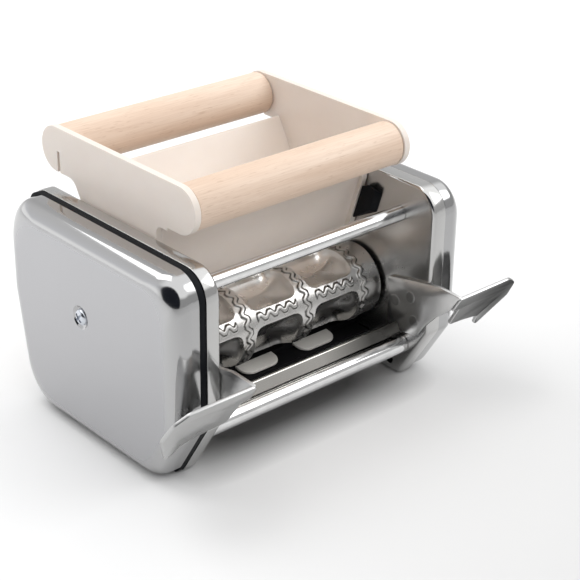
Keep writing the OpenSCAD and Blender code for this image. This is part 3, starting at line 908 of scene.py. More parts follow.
@dataclass
class SideFrames(Assembly):
    """The two pressed side frames and the dark band outside the left one."""

    bend: float = 2.2
    rim: float = 0.2
    band_inset: float = 0.5
    band_t: float = 3.0
    band_edge: float = 0.5
    rod_hole_r: float = 2.52
    rivet_hole_r: float = 2.02
    bush_hole_r: float = 6.02
    foot_hole: Triple = (25.8, 6.5, 2.5)

    def build(self) -> None:
        """Makes both frames and the band."""
        for side in Side:
            self.build_frame(side)
        self.build_band()

    def build_frame(self, side: Side) -> None:
        """Makes one side frame as a pressed pan with a rounded bend.

        Args:
            side: End of the machine.
        """
        b, t, r, e = self.body, self.body.sheet, self.bend, self.rim
        x0, x1 = b.plate_x, b.flange_x
        profile = [(r + 2, x0)] + quarter(r, x0, 0, x0 + r, 6, False) + [(0, x1 - e)]
        profile += quarter(0, x1 - e, e, x1, 3, True)[1:] + quarter(t - e, x1, t, x1 - e, 3, False)
        profile += [(t, x0 + r)] + quarter(t, x0 + r, r, x0 + t, 6, True)[1:] + [(r + 2, x0 + t)]
        made = sweep(f"{side.word}_frame_pan", b.frame_outline(), profile, side)
        holes = [(y, z, self.rod_hole_r) for _, y, z, _ in b.rods()]
        holes += [(y, z, self.rivet_hole_r) for y, z in b.rivets()]
        holes += [(y, b.roller_z, self.bush_hole_r) for y in (b.roller_y, b.back_roller_y)]
        holes += [self.foot_hole, (b.screw_y, b.screw_z, self.rivet_hole_r)]
        drill(made, holes, side.value * (x0 - 2), side.value * (x0 + t + 2))
        self.put(made, "frame", self.finishes.frame, "frame_steel", f"{side.word}_side_frame")

    def build_band(self) -> None:
        """Makes the dark band as a ring with rounded edges."""
        b, i, e = self.body, self.band_inset, self.band_edge
        x0, x1 = b.flange_x, b.flange_x + b.band_w
        profile = quarter(i + e, x0, i, x0 + e, 3, False) + quarter(i, x1 - e, i + e, x1, 3, True)
        profile += [(i + self.band_t, x1), (i + self.band_t, x0)]
        made = sweep("gear_case_band_ring", b.frame_outline(), profile, Side.LEFT, closed=True)
        sharpen(made, 40)
        self.put(made, "frame", self.finishes.black, "black_plastic", "gear_case_band")


@dataclass
class Covers(Assembly):
    """The two pressed covers with their dimples, screws and posts."""

    fillet: float = 10.0
    sheet: float = 1.8
    soften: float = 6.0
    face_margin: float = 1.5
    rim_edge: float = 0.12
    dimple_r: float = 5.9
    dimple_d: float = 1.15
    screw_hole_r: float = 2.3
    crank_hole_r: float = 8.6
    shank_l: float = 10.8
    shank_r: float = 2.0
    head_r: float = 4.0
    head_rim: float = 0.6
    head_dome: float = 1.9
    cross_l: float = 2.5
    cross_w: float = 0.62
    cross_d: float = 0.9

    def build(self) -> None:
        """Makes both covers."""
        for side in Side:
            self.build_cover(side)
            self.build_screw(side)
        self.keep(self.finishes.plain, "left_cover_post", "right_cover_post")

    def start(self, side: Side) -> float:
        """Gives the X of a cover's rim."""
        return self.body.flange_x + (self.body.band_w if side is Side.LEFT else 0.0)

    def build_cover(self, side: Side) -> None:
        """Makes one cover as a drawn sheet with a dimple round its screw.

        Args:
            side: End of the machine.
        """
        b, r, t, e, flat = self.body, self.fillet, self.sheet, self.rim_edge, self.fillet + self.face_margin
        x0 = self.start(side)
        x1 = x0 + b.cover_w
        outside = [(e, x0), (0, x0 + e), (0, x1 - r)] + quarter(0, x1 - r, r, x1, 24, True)[1:] + [(flat, x1)]
        inside = [(flat, x1 - t)] + quarter(t, x1 - r, r, x1 - t, 10, True)[::-1] + [(t, x0)]
        shell = sweep(f"{side.word}_cover_shell", b.cover_outline(), inside + outside, side,
                      soften=self.soften, reach=r, steps=18)
        holes = [(b.screw_y, b.screw_z, self.screw_hole_r)]
        if side is Side.RIGHT:
            holes.append((b.roller_y, b.roller_z, self.crank_hole_r))
        drill(shell, holes, side.value * (x1 - t - 3), side.value * (x1 + 3))
        self.press_dimple(shell, side, x1)
        for face in shell.data.polygons:
            face.use_smooth = face.area < 2e-4
        self.put(shell, "frame", self.finishes.cover, "cover_steel", f"{side.word}_cover")

    def press_dimple(self, shell: Thing, side: Side, x: float) -> None:
        """Sinks the seat of the screw into the outer skin.

        Args:
            shell: The cover.
            side: End of the machine.
            x: X of the cover's face.
        """
        r, d = self.dimple_r, self.dimple_d
        dish = [(x + 1, 0.001), (x + 1, r + 0.5), (x + 0.02, r), (x - 0.12 * d, r - 0.25),
                (x - 0.5 * d, r - 0.75), (x - 0.88 * d, r - 1.25), (x - d, r - 1.6), (x - d, 0.001)]
        cut_out(shell, lathe("dish", mirrored(dish, side), self.body.screw_y, self.body.screw_z, 64))

    def build_screw(self, side: Side) -> None:
        """Makes a pan head screw with a cross recess and a washer face.

        Args:
            side: End of the machine.
        """
        b, r = self.body, self.head_r
        x = self.start(side) + b.cover_w - self.dimple_d
        rim = x + self.head_rim
        dome = [(x - self.shank_l, self.shank_r), (x, self.shank_r), (x, r - 0.1), (rim, r)]
        dome += [(rim + self.head_dome * math.sin(a), r * math.cos(a)) for a in circle(32)[1:8]]
        head = lathe("head", mirrored(dome, side), b.screw_y, b.screw_z, 48)
        middle = at(side.value * (x + self.head_dome), b.screw_y, b.screw_z)
        for turn in (math.pi / 4, 3 * math.pi / 4):
            u = Vector((0, math.cos(turn), math.sin(turn))) * self.cross_l * MM
            v = Vector((0, -math.sin(turn), math.cos(turn))) * self.cross_w * MM
            loop = [middle + u * i + v * j for i, j in ((-1, -1), (1, -1), (1, 1), (-1, 1))]
            depths = [Vector((side.value * d * MM, 0, 0)) for d in (-self.cross_d, 2)]
            cut_out(head, skin("cross", [[p + depth for p in loop] for depth in depths]))
        sharpen(head, 35)
        head.name = f"{side.word}_pan_screw"
        self.put(head, "frame", self.finishes.screw, "screw_steel", f"{side.word}_cover_screw")


@dataclass
class TieRods(Assembly):
    """The four rods between the side frames, their nuts and the bushes."""

    tail: float = 7.0
    chamfer: float = 0.6
    thread_r: float = 2.45
    root_r: float = 2.12
    thread_pitch: float = 0.8
    threads: int = 6
    thread_start: float = 1.6
    slack: float = 0.02

    def build(self) -> None:
        """Makes the rods with chamfered shoulders and threaded ends."""
        half, c, pitch = self.body.plate_x, self.chamfer, self.thread_pitch
        end, face = half + self.tail, half - self.slack
        thread = [(face, self.thread_r), (half + self.thread_start, self.thread_r)]
        for k in range(self.threads):
            x = half + self.thread_start + k * pitch
            thread += [(x + pitch / 2, self.root_r), (x + pitch, self.thread_r)]
        for name, y, z, r in self.body.rods():
            right = [(face - c, r), (face, r - c)] + thread + [(end, 2.0), (end, 1e-3)]
            left = mirrored(right[::-1], Side.LEFT)
            made = lathe(name + "_turned", left + right, y, z, 64)
            self.put(made, "frame", self.finishes.rod, "rod_chrome", name)
        self.keep(self.finishes.plain, "left_rod_nuts", "right_rod_nuts", edge=0.3)
        self.keep(self.finishes.bush, "roller_bushes", edge=0.2)


@dataclass
class RollerPair(Assembly):
    """The two cast rollers with their pockets and zigzag cutting ribs, shafts and gears."""

    drum_r: float = 19.1
    rib_h: float = 0.75
    rib_w: float = 0.5
    flank: float = 1.3
    pockets: int = 3
    pocket_depth: float = 8.2
    pocket_turn: float = 87.0
    pocket_shape: float = 6.5
    land_half: float = 4.0
    ring_half: float = 4.0
    rib_half: float = 12.7
    rib_shift: float = 0.7
    half: float = 65.2
    bore_r: float = 4.02
    wave: float = 6.2
    swing: float = 1.05
    ring_waves: int = 19
    ring_shift: float = 1.7
    front_grid: tuple[int, int] = (480, 400)
    back_grid: tuple[int, int] = (320, 280)

    def build(self) -> None:
        """Makes both rollers and dresses what turns with them."""
        b = self.body
        self.build_roller("front_roller", b.roller_y, -1.0, *self.front_grid)
        self.build_roller("back_roller", b.back_roller_y, 1.0, *self.back_grid)
        self.keep(self.finishes.rod, "front_roller_shaft", "back_roller_shaft", edge=0.3)
        self.keep(self.finishes.gear, "front_roller_gear", "back_roller_gear")

    def bead(self, place: np.ndarray, across: np.ndarray, wave: float) -> np.ndarray:
        """Gives the rise of a bead that runs in waves.

        Args:
            place: Place along the bead.
            across: Distance from the line that the bead winds about.
            wave: Length of a wave.

        Returns:
            Values from 0 beside the bead to 1 on its top.
        """
        turn = 2 * np.pi / wave
        slope = self.swing * turn * np.cos(place * turn)
        far = np.abs(across - self.swing * np.sin(place * turn)) / np.sqrt(1 + slope * slope)
        rise = np.clip((self.rib_w + self.flank - far) / self.flank, 0, 1)
        return rise * rise * (3 - 2 * rise)

    def relief(self, x: np.ndarray, angle: np.ndarray) -> tuple[np.ndarray, np.ndarray]:
        """Gives the surface of a roller.

        Args:
            x: Place along the axis.
            angle: Angle round the axis.

        Returns:
            The radius and the share of painted flank shade, which grows where the ribs are steep, for every
            pair.
        """
        step, turn, n = 2 * np.pi / self.pockets, np.radians(self.pocket_turn), self.pocket_shape
        off = (angle - turn + step / 2) % step - step / 2
        land = (angle - turn) % step - step / 2
        b = self.body
        away = x[..., None] - np.array(b.middles())
        dx = np.take_along_axis(away, np.argmin(np.abs(away), axis=-1)[..., None], axis=-1)[..., 0]
        u = np.abs(dx) / (b.pitch / 2 - self.ring_half)
        v = np.abs(off) / (step / 2 - self.land_half / self.drum_r)
        s = (u ** n + v ** n) ** (1 / n)
        radius = self.drum_r - self.pocket_depth * np.sqrt(np.clip(1 - s ** 2.6, 0, 1))
        rib = self.bead(dx, land * self.drum_r - self.rib_shift, self.wave)
        rib = rib * np.clip((self.rib_half - np.abs(dx)) / 0.6 + 0.5, 0, 1)
        wave = 2 * np.pi * self.drum_r / self.ring_waves
        for i in range(b.columns + 1):
            around = angle * self.drum_r + self.ring_shift * i
            rib = np.maximum(rib, self.bead(around, x - b.first_x + i * b.pitch, wave))
        # The second value marks the rib flanks, where the cast finish paints shade.
        return radius + rib * self.rib_h, np.clip(5 * rib * (1 - rib), 0, 1)

    def build_roller(self, name: str, y: float, lean: float, around: int, along: int) -> None:
        """Makes one roller.

        Args:
            name: Its CAD node.
            y: Depth of its axis.
            lean: Sign of Y where the angle is 0.
            around: Points round the axis.
            along: Points along the axis.
        """
        half, top, shape = self.half, self.drum_r, (along, around)
        angle = (2 * np.pi * np.arange(around) / around)[None, :]
        xs = np.linspace(-half + 0.5, half - 0.5, along)[:, None]
        radius, flank_shade = self.relief(np.broadcast_to(xs, shape), np.broadcast_to(angle, shape))

        def ring(x: float, r: float) -> tuple[np.ndarray, ...]:
            """Gives a plain ring of points: X, radius and painted flank shade."""
            return tuple(np.full((1, around), value) for value in (x, r, 0.0))

        ends = [(half - 0.15, top - 0.15), (half, top - 0.5), (half, top - 1.0), (half, self.bore_r)]
        rows = [ring(-x, r) for x, r in reversed(ends)]
        rows.append((np.broadcast_to(xs, shape), radius, flank_shade))
        rows += [ring(x, r) for x, r in ends]
        all_x, all_r, all_s = (np.concatenate([row[i] for row in rows]) for i in range(3))
        all_y = y + lean * all_r * np.cos(angle) - FRONT
        points = np.stack([all_x, all_y, self.body.roller_z + all_r * np.sin(angle)], axis=-1) * MM
        count = len(all_x)
        k, i = np.meshgrid(np.arange(count), np.arange(around), indexing="ij")
        nk, ni = (k + 1) % count, (i + 1) % around
        corners = [k * around + i, nk * around + i, nk * around + ni, k * around + ni]
        quads = np.stack(corners, axis=-1).reshape(-1, 4)
        mesh = bpy.data.meshes.new(name + "_cast")
        mesh.from_pydata(points.reshape(-1, 3).tolist(), [], quads.tolist())
        mesh.polygons.foreach_set("use_smooth", [True] * len(mesh.polygons))
        # The flanks' share of painted shade goes to the mesh for the cast finish.
        mark = mesh.attributes.new("flank_shade", "FLOAT", "POINT")
        mark.data.foreach_set("value", all_s.astype(np.float32).ravel())
        with edited(mesh) as work:
            bmesh.ops.recalc_face_normals(work, faces=work.faces)
        made = add_object(name + "_cast", mesh)
        sharpen(made, 50)
        self.put(made, name, self.finishes.cast, "roller_aluminium", name)


@dataclass
class HopperUnit(Assembly):
    """The moulded hopper with its two beech dowels."""

    plate_t: float = 3.5
    side_gap: float = 0.6
    wall_t: float = 2.5
    dowel_z: float = 126.5
    front_dowel_y: float = 29.6
    dowel_gap: float = 96.1
    dowel_r: float = 11.0
    dowel_gap_x: float = 0.4
    pin_bore_r: float = 2.52
    lobe_r: float = 11.5
    slit_w: float = 1.8
    top_z: float = 117.5
    low_z: float = 66.0
    front_y: float = 44.2
    front_lean: float = 17.9
    rear_y: float = 110.0
    rear_lean: float = 30.2
    neck_y: float = 46.8
    neck_z: float = 102.0
    neck_lean: float = 16.7
    step_y: float = 38.5
    step_h: float = 1.5
    edge: float = 0.9

    @property
    def back_dowel_y(self) -> float:
        """Depth of the back dowel's axis."""
        return self.front_dowel_y + self.dowel_gap

    @property
    def inner_x(self) -> float:
        """Inner face of an end plate."""
        return self.body.plate_x - self.side_gap - self.plate_t

    def front_face(self, z: float) -> float:
        """Gives the depth of the front wall's outer face at a height."""
        return self.front_y + (self.top_z - z) * math.tan(math.radians(self.front_lean))

    def rear_face(self, z: float) -> float:
        """Gives the depth of the rear wall's inner face at a height."""
        return self.rear_y - (self.top_z - z) * math.tan(math.radians(self.rear_lean))

    def neck_face(self, z: float) -> float:
        """Gives the depth of an end plate's front edge at a height below its neck."""
        return self.neck_y + (self.neck_z - z) * math.tan(math.radians(self.neck_lean))

    def across(self, lean: float) -> float:
        """Gives a wall's thickness along Y, from its lean in degrees."""
        return self.wall_t / math.cos(math.radians(lean))

    def end_outline(self) -> list[Corner]:
        """Gives the outline of an end plate with its lobes, shoulder and snap slit."""
        rear, r = self.across(self.rear_lean), self.lobe_r
        under, over, low = self.dowel_z - r, self.dowel_z + r, self.low_z - 1
        slit, top, half = self.back_dowel_y - 2.3, self.dowel_z - 0.8, self.slit_w / 2
        back, front, step = self.back_dowel_y + r, self.front_dowel_y - r, under - self.step_h
        return [Corner(self.neck_face(low), low, 1.5), Corner(self.rear_face(low) + rear, low, 1.5),
                Corner(self.rear_face(under) + rear, under, 7), Corner(slit - half, under, 0.6),
                Corner(slit - half, top, 0.5), Corner(slit + half, top, 0.5), Corner(slit + half, under, 0.3),
                Corner(back, under, r - 0.01), Corner(back, over, r - 0.01), Corner(front, over, r - 0.01),
                Corner(front, under, r - 0.01), Corner(self.step_y, under), Corner(self.step_y, step),
                Corner(self.neck_y, step, 4), Corner(self.neck_y, self.neck_z, 2)]

    def build(self) -> None:
        """Makes the hopper and the dowels."""
        x0, x1, low = self.inner_x, self.inner_x + self.plate_t, self.low_z
        parts = [slab("end", self.end_outline(), s * x0, s * x1, self.edge, 10, 4) for s in (-1, 1)]
        for foot, top, lean in ((self.front_face(low), self.front_y, self.front_lean),
                                (self.rear_face(low), self.rear_y, self.rear_lean)):
            t = self.across(lean)
            outline = [Corner(foot, low, 0.5), Corner(foot + t, low, 0.5),
                       Corner(top + t, self.top_z, 1.1), Corner(top, self.top_z, 1.1)]
            parts.append(slab("wall", outline, -x0 - 0.5, x0 + 0.5, 0.01, 6, 1))
        made = joined("hopper_moulding", parts)
        self.put(made, "hopper", self.finishes.cream, "cream_plastic", "hopper")
        self.build_dowel("front_dowel", self.front_dowel_y)
        self.build_dowel("back_dowel", self.back_dowel_y)

    def build_dowel(self, name: str, y: float) -> None:
        """Makes one dowel with broken edges and dresses its pins.

        Args:
            name: Its CAD node.
            y: Depth of its axis.
        """
        half, r, bore = self.inner_x - self.dowel_gap_x, self.dowel_r, self.pin_bore_r
        right = [(half - 0.7, r), (half - 0.2, r - 0.2), (half, r - 0.7), (half, bore), (half - 12, bore)]
        middle = [(-half * 0.5, r), (0.0, r), (half * 0.5, r)]
        profile = mirrored(right[::-1], Side.LEFT) + middle + right
        made = lathe(name + "_turned", profile, y, self.dowel_z, 96)
        self.put(made, name, self.finishes.beech, "beech", name)
        self.keep(self.finishes.plain, name + "_pins")


@dataclass
class HookArms(Assembly):
    """The two bent sheet arms with their rivets."""

    sheet: float = 2.0
    reach: float = 22.4
    top_z: float = 59.4
    lean: float = 32.0
    half_w: float = 111.0
    boss_x: float = 21.5
    boss_r: float = 4.2
    boss_h: float = 0.8
    cheek_h: float = 9.2
    tab_l: float = 16.0
    tab_w: float = 4.0
    tab_t: float = 1.2
    tab_gap: float = 1.5
    rivet_r: float = 2.0
    head_r: float = 3.0
    head_h: float = 0.3

    def build(self) -> None:
        """Makes both arms and their rivets."""
        for side in Side:
            self.build_arm(side)
            self.build_rivets(side)

    def panel_point(self, x: float, down: float, out: float) -> Vector:
        """Gives a point of the panel: X with its sign, down from its upper edge, out of its front."""
        a = math.radians(self.lean)
        return at(x, -self.reach + down * math.sin(a) - out * math.cos(a),
                  self.top_z - down * math.cos(a) - out * math.sin(a))

    def build_arm(self, side: Side) -> None:
        """Makes one arm.

        Args:
            side: End of the machine.
        """
        s, x0 = side.value, self.body.plate_x - self.sheet
        a = math.radians(self.lean)
        top = (-self.reach + math.cos(a) * self.sheet / 2, self.top_z + math.sin(a) * self.sheet / 2)
        low = (top[0] + math.sin(a) * self.cheek_h, top[1] - math.cos(a) * self.cheek_h)
        cheek = slab("cheek", [
            Corner(*top), Corner(*low), Corner(-5.6, 43.2, 3), Corner(0.8, 36.1, 8), Corner(6, 28.4, 3),
            Corner(26.5, 25.4, 2), Corner(28, 54.4, 2), Corner(13, 57.5), Corner(-1, 60), Corner(-7, 61.2),
            Corner(-self.reach + 1.6, self.top_z + 1.1)], s * x0, s * (x0 + self.sheet), 0.35, 6, 2)
        foot, tip, h = self.half_w - 9.8, self.half_w, self.cheek_h + 0.3
        shape = rounded([
            Corner(x0, 0, 1.6), Corner(x0, h, 0.5), Corner(x0 + 5, h, 2), Corner(x0 + 7, 24.5, 2),
            Corner(x0 + 17, 25.5), Corner(foot - 8, 28, 3), Corner(foot - 5.4, 29.5),
            Corner(foot - 2.6, 37.2, 1), Corner(foot, 38.6, 1), Corner(tip, 17.5, 4),
            Corner(tip - 2.5, 5.5, 5), Corner(tip - 9.5, 0, 6)], 8)
        faces = (0.0, -self.sheet)
        panel = skin("panel", [[self.panel_point(s * x, d, out) for x, d in shape] for out in faces])
        soften_edges(panel, 0.75, 3)
        z, y0, y1 = self.top_z + 0.4, -self.tab_l - self.tab_gap, -self.tab_gap
        high = z + self.tab_t
        tab = slab("tab", [Corner(y0, z), Corner(y1, z), Corner(y1, high), Corner(y0, high)],
                   s * (self.body.plate_x - 0.6), s * (self.body.plate_x + self.tab_w), 0.3, 4, 2)
        made = joined(f"{side.word}_hook_sheet", [cheek, panel, self.boss(s, x0 + self.boss_x), tab])
        holes = [(y, z, self.rivet_r + 0.02) for y, z in self.body.rivets()]
        drill(made, holes, s * (x0 - 1), s * (x0 + self.sheet + 1))
        # The right arm takes the steel with painted light on its cheek and a painted dark reflection on its
        # front.
        steel = self.finishes.arm if side is Side.LEFT else self.finishes.arm_painted_light_and_shade
        self.put(made, "frame", steel, "arm_steel", f"{side.word}_hook_arm")

    def boss(self, s: int, x: float) -> Thing:
        """Makes the small raised boss of a panel.

        Args:
            s: Sign of X.
            x: Distance of its middle from the middle of the machine.

        Returns:
            The object.
        """
        r, h = self.boss_r, self.boss_h
        rise = ((r, -0.05), (r * 0.93, 0.35), (r * 0.8, 0.7), (r * 0.55, h), (0.02, h + 0.02))
        return skin("boss", [
            [self.panel_point(s * (x + q * math.cos(t)), r * 1.8 + q * math.sin(t), out) for t in circle(36)]
            for q, out in rise])

    def build_rivets(self, side: Side) -> None:
        """Makes the rivets of one arm with domed heads.

        Args:
            side: End of the machine.
        """
        x0, x1 = self.body.plate_x - self.sheet, self.body.plate_x + self.body.sheet
        r, h = self.head_r, self.head_h
        shape = [(x0 - h * math.cos(t), max(r * math.sin(t), 0.001)) for t in circle(32)[:9]]
        shape += [(x0, self.rivet_r), (x1, self.rivet_r), (x1, r), (x1 + 0.8, r * 0.96),
                  (x1 + 1.15, r * 0.75), (x1 + 1.2, 0.001)]
        parts = [lathe("rivet", mirrored(shape, side), y, z, 36) for y, z in self.body.rivets()]
        made = joined(f"{side.word}_domed_rivets", parts)
        sharpen(made, 40)
        self.put(made, "frame", self.finishes.arm, "plain_steel", f"{side.word}_arm_rivets")


@dataclass
class Strippers(Assembly):
    """The folded strips above the lower rods and the combs below the rollers."""

    strip_t: float = 1.0
    strip_h: float = 5.5
    gap: float = 2.0
    bar_y: float = 52.0
    bar_w: float = 10.0
    bar_z: float = 17.5
    bar_t: float = 3.0
    shelf_w: float = 10.0
    edge_z: float = 26.9
    tongue_t: float = 1.5
    tongue_w: float = 24.0
    tongue_l: float = 8.5
    droop: float = 1.2
    tongue_r: float = 6.0
    middle_y: float = 71.4

    def build(self) -> None:
        """Makes the strips and the combs."""
        rods = {name: (y, z, r) for name, y, z, r in self.body.rods()}
        for where, lean, short in (("front", 1.0, 2.05), ("rear", -1.0, 0.05)):
            y, z, r = rods[f"bottom_{where}_rod"]
            self.build_strip(f"{where}_deflector_strip", self.body.plate_x - short, y, z + r + self.gap, lean)
        self.build_comb("front", 1.0)
        self.build_comb("rear", -1.0)

    def build_strip(self, name: str, half: float, y: float, z: float, lean: float) -> None:
        """Makes one folded strip.

        Args:
            name: Its CAD node.
            half: Half its length.
            y: Depth of the rod below it.
            z: Height of its lower edge.
            lean: 1 in front and -1 behind.
        """
        t, h = self.strip_t, self.strip_h
        shape = [(-1, 0, 0), (t - 1, -0.4, 0), (1.2 + t, h - 1.6, 0.4), (6.2, -1.4, 0), (6.2 + t, -1, 0),
                 (1.8 + t, h, 1.0), (1.4, h, 0.8)]
        outline = [Corner(y + lean * dy, z + dz, r) for dy, dz, r in shape]
        made = slab(name + "_folded", outline if lean > 0 else outline[::-1], -half, half, 0.12, 6, 2)
        self.put(made, "frame", self.finishes.strip, "strip_steel", name)

    def build_comb(self, where: str, lean: float) -> None:
        """Makes a bar with a raised edge, near black as painted shade, and pale tongues.

        Args:
            where: Front or rear.
            lean: 1 in front and -1 behind.
        """
        half, t = self.body.plate_x - 0.02, self.tongue_t
        y0, y1, z0, z1 = self.bar_y, self.bar_y + self.bar_w, self.bar_z, self.bar_z + self.bar_t

        def turned(y: float) -> float:
            """Gives a depth, mirrored for the rear comb."""
            return y if lean > 0 else 2 * self.middle_y - y

        def box(name: str, x: float, near: float, far: float, low: float, high: float) -> Thing:
            """Makes a bar along X with rounded edges."""
            y2, y3 = turned(near), turned(far)
            shape = [Corner(y2, low), Corner(y3, low), Corner(y3, high), Corner(y2, high)]
            return slab(name, shape if lean > 0 else shape[::-1], -x, x, 0.3, 1, 2)

        bar = joined(f"{where}_comb_bar", [
            box("bar", half, y0, y1, z0, z1),
            box("edge", half - 4, y1 - t, y1, z1 - 0.1, self.edge_z),
            box("shelf", half - 0.5, y0 - self.shelf_w, y0 + 2, z0 - 1.4, z0 + 0.1)])
        # The bar's near-black colour is painted shade under the rollers.
        self.put(bar, "frame", self.finishes.dark, "black_plastic")
        w, long, root = self.tongue_w / 2, self.tongue_l, y0 + 0.5
        plan = rounded([Corner(-w, y0 - long, self.tongue_r), Corner(w, y0 - long, self.tongue_r),
                        Corner(w, root), Corner(-w, root)], 8)
        tongues = []
        for x in self.body.middles():
            rings = [[at(x + px, turned(py), z - self.droop * (y0 - py) / long) for px, py in plan]
                     for z in (z1 - t, z1)]
            tongues.append(skin("tongue", rings))
            soften_edges(tongues[-1], 0.45, 3)
        made = joined(f"{where}_comb_tongues", tongues)
        self.put(made, "frame", self.finishes.grey, "grey_plastic", f"{where}_stripper_comb")


@dataclass
class Guides(Assembly):
    """The black blocks that the hopper stands on."""

    width: float = 3.5
    depth: float = 8.6
    rear_depth: float = 8.0
    gap: float = 0.3
    draft: float = 2.2

    def build(self) -> None:
        """Makes the four guides with rounded edges."""
        h, x1 = self.body.height, self.body.plate_x
        hopper = HopperUnit(self.finishes, self.body)
        rear = hopper.across(hopper.rear_lean) + self.gap * 1.2
        y1, y2 = (hopper.neck_face(z) - self.gap for z in (h - 7, h - 30))
        d = self.depth
        front = [Corner(y2, h - 30, 0.5), Corner(y1 + 0.4, h - 8.3 - d * 0.19, 0.6),
                 Corner(y1 - d * 0.47, h - 8.2, 0.8), Corner(y1 - d, h - 7.6 - d * 0.28, 0.8),
                 Corner(y1 - d * 0.6, h - 7 - d * 1.67, 0.6)]
        root = [Corner(y2, h - 30, 0.5), Corner(y1 + 1.2, h - 11 - d * 0.19, 0.6),
                Corner(y1 - d * 0.47, h - 10.2, 0.8), Corner(y1 - d - self.draft, h - 9.5 - d * 0.28, 0.8),
                Corner(y1 - d * 0.6 - self.draft, h - 8.5 - d * 1.67, 0.6)]
        r1, r2 = hopper.rear_face(h - 10) + rear, hopper.rear_face(h - 30) + rear
        back = [Corner(r2, h - 30, 0.5), Corner(r2 + self.rear_depth, h - 30, 0.8),
                Corner(r1 + self.rear_depth * 0.75, h - 10, 0.8), Corner(r1, h - 10, 0.5)]
        for side in Side:
            for where, face, foot in (("front", front, root), ("rear", back, back)):
                s, name = side.value, f"{side.word}_{where}_guide"
                ends = ((face, x1 - self.width), (foot, x1 - 0.02))
                rings = [[at(s * x, y, z) for y, z in rounded(shape, 5)] for shape, x in ends]
                made = skin(name + "_block", rings)
                soften_edges(made, 0.35, 3)
                self.put(made, "frame", self.finishes.black, "black_plastic", name)


# The studio


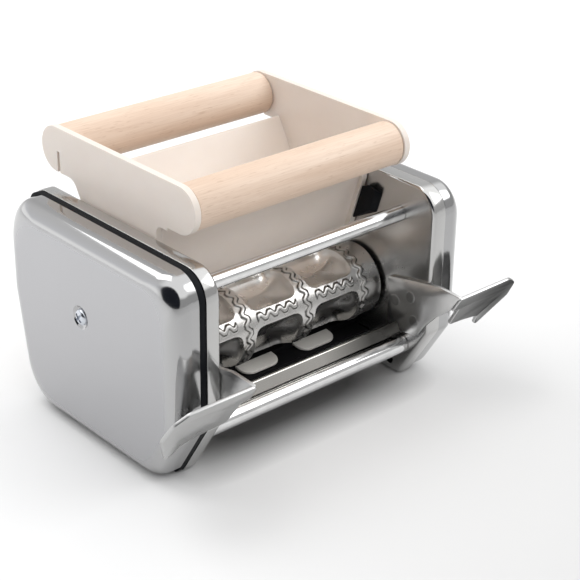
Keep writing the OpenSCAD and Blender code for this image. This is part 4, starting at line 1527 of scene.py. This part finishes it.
@dataclass
class Studio:
    """Pale floor, soft light and the camera at the photograph's angle."""

    eye: Triple = (-0.45037, -0.52728, 0.40078)
    azimuth: float = -42.03
    elevation: float = 26.44
    roll: float = 0.89
    lens: float = 96.966
    half_floor: float = 5.0
    floor_z: float = -0.0001
    # The grey front of the floor's ramp and its dark patch below the machine are painted shade.
    floor_front: Colour = (0.58, 0.58, 0.58)
    floor_back: Colour = (0.90, 0.90, 0.90)
    floor_painted_shadow: Colour = (0.14, 0.14, 0.14)
    flag_way: Triple = (-0.90, -0.27, 0.20)
    flag: Colour = (0.02, 0.022, 0.03)

    def build(self) -> None:
        """Makes the whole studio."""
        self.build_camera()
        self.build_floor()
        self.build_world()
        self.build_lamps()
        bpy.context.scene.view_settings.view_transform = "Standard"

    def build_camera(self) -> None:
        """Makes the camera."""
        a, e, r = (math.radians(v) for v in (self.azimuth, self.elevation, self.roll))
        back = Vector((math.sin(a) * math.cos(e), -math.cos(a) * math.cos(e), math.sin(e)))
        right = (-back).cross(Vector((0, 0, 1))).normalized()
        up = right.cross(-back)
        across = right * math.cos(r) + up * math.sin(r)
        upward = up * math.cos(r) - right * math.sin(r)
        data = bpy.data.cameras.new("camera")
        data.sensor_width, data.lens = 36.0, self.lens
        data.clip_start, data.clip_end = 0.01, 50
        camera = add_object("camera", data)
        turn = Matrix((across, upward, back)).transposed().to_4x4()
        camera.matrix_world = Matrix.Translation(Vector(self.eye)) @ turn
        bpy.context.scene.camera = camera

    def build_floor(self) -> None:
        """Makes a plain pale floor with painted shade: greyer towards the front, and a painted shadow dark
        below the machine.
        """
        h = self.half_floor
        corners = [Vector((x * h, y * h, self.floor_z)) for x, y in ((-1, -1), (1, -1), (1, 1), (-1, 1))]
        floor = new_object("floor", corners, [[0, 1, 2, 3]], False)
        made, g = new_material("pale_floor")
        across, deep = g.along("X"), g.along("Y")
        # Painted shade: the floor greys towards the front and right.
        far = g.math("MULTIPLY_ADD", deep, 0.94, g.math("MULTIPLY", across, -0.18))
        colour = g.tint(g.spread(far, -0.30, 0.10), self.floor_front, self.floor_back)
        # Painted shadow: darker over the machine's footprint, fading out just beyond it.
        wide = g.math("MULTIPLY", g.math("ABSOLUTE", across), 0.74)
        away = g.math("SMOOTH_MAX", wide, g.math("ABSOLUTE", deep), 0.03)
        colour = g.tint(g.spread(away, 0.034, 0.062), self.floor_painted_shadow, colour)
        g.surface(colour, 0.75)
        floor.data.materials.append(made)

    def build_world(self) -> None:
        """Makes the room: bright above, a white screen at the back left and a dark flag at the left."""
        world = bpy.data.worlds.new("studio")
        bpy.context.scene.world = world
        world.use_nodes = True
        g = Graph(world.node_tree)
        way = g.add("TexCoord").outputs["Generated"]
        parts = g.add("SeparateXYZ", Vector=way).outputs
        height = parts["Z"]
        front = g.tint(g.spread(height, 0.36, 0.50), (0.50, 0.50, 0.50), (1.40, 1.40, 1.40))
        upper = g.tint(g.spread(height, 0.25, 0.60), (1.00, 1.01, 1.04), (0.90, 0.90, 0.90))
        left = g.tint(g.spread(height, 0.12, 0.26), (1.45, 1.45, 1.45), upper)
        back = g.tint(g.spread(parts["X"], -0.15, 0.25), left, (0.70, 0.70, 0.70))
        room = g.tint(g.spread(parts["Y"], 0.20, 0.45), front, back)
        flag_way = Vector(self.flag_way).normalized()
        near = g.add("VectorMath", {"operation": "DOT_PRODUCT"}, _0=way, _1=flag_way).outputs["Value"]
        colour = g.tint(g.spread(near, 0.81, 0.84), room, self.flag)
        light = g.add("Background", Color=colour, Strength=1.0)
        g.add("OutputWorld", Surface=light.outputs["Background"])

    def build_lamps(self) -> None:
        """Makes the two soft boxes."""
        for name, place, aim, size, power in (
                ("key", (-0.30, 0.60, 1.20), (0, 0, 0.05), 0.8, 5.0),
                ("fill", (0.78, -0.60, 0.86), (0, 0, 0.05), 0.7, 3.0)):
            data = bpy.data.lights.new(name, "AREA")
            data.energy, data.size, data.shape = power, size, "SQUARE"
            lamp = add_object(name, data)
            lamp.location = place
            lamp.rotation_euler = (Vector(aim) - Vector(place)).to_track_quat("-Z", "Y").to_euler()


def main() -> None:
    """Builds the machine and the studio and reports the pieces."""
    logging.basicConfig(level=logging.INFO, format="%(name)s: %(message)s")
    Studio().build()
    finishes, body = Finishes(), Body()
    units = (SideFrames, Covers, TieRods, RollerPair, HopperUnit, HookArms, Strippers, Guides)
    for kind in units:
        unit = kind(finishes, body)
        unit.build()
        for name in unit.made:
            LOG.info("%s: %s", kind.__name__, name)


if __name__ == "__main__":
    main()
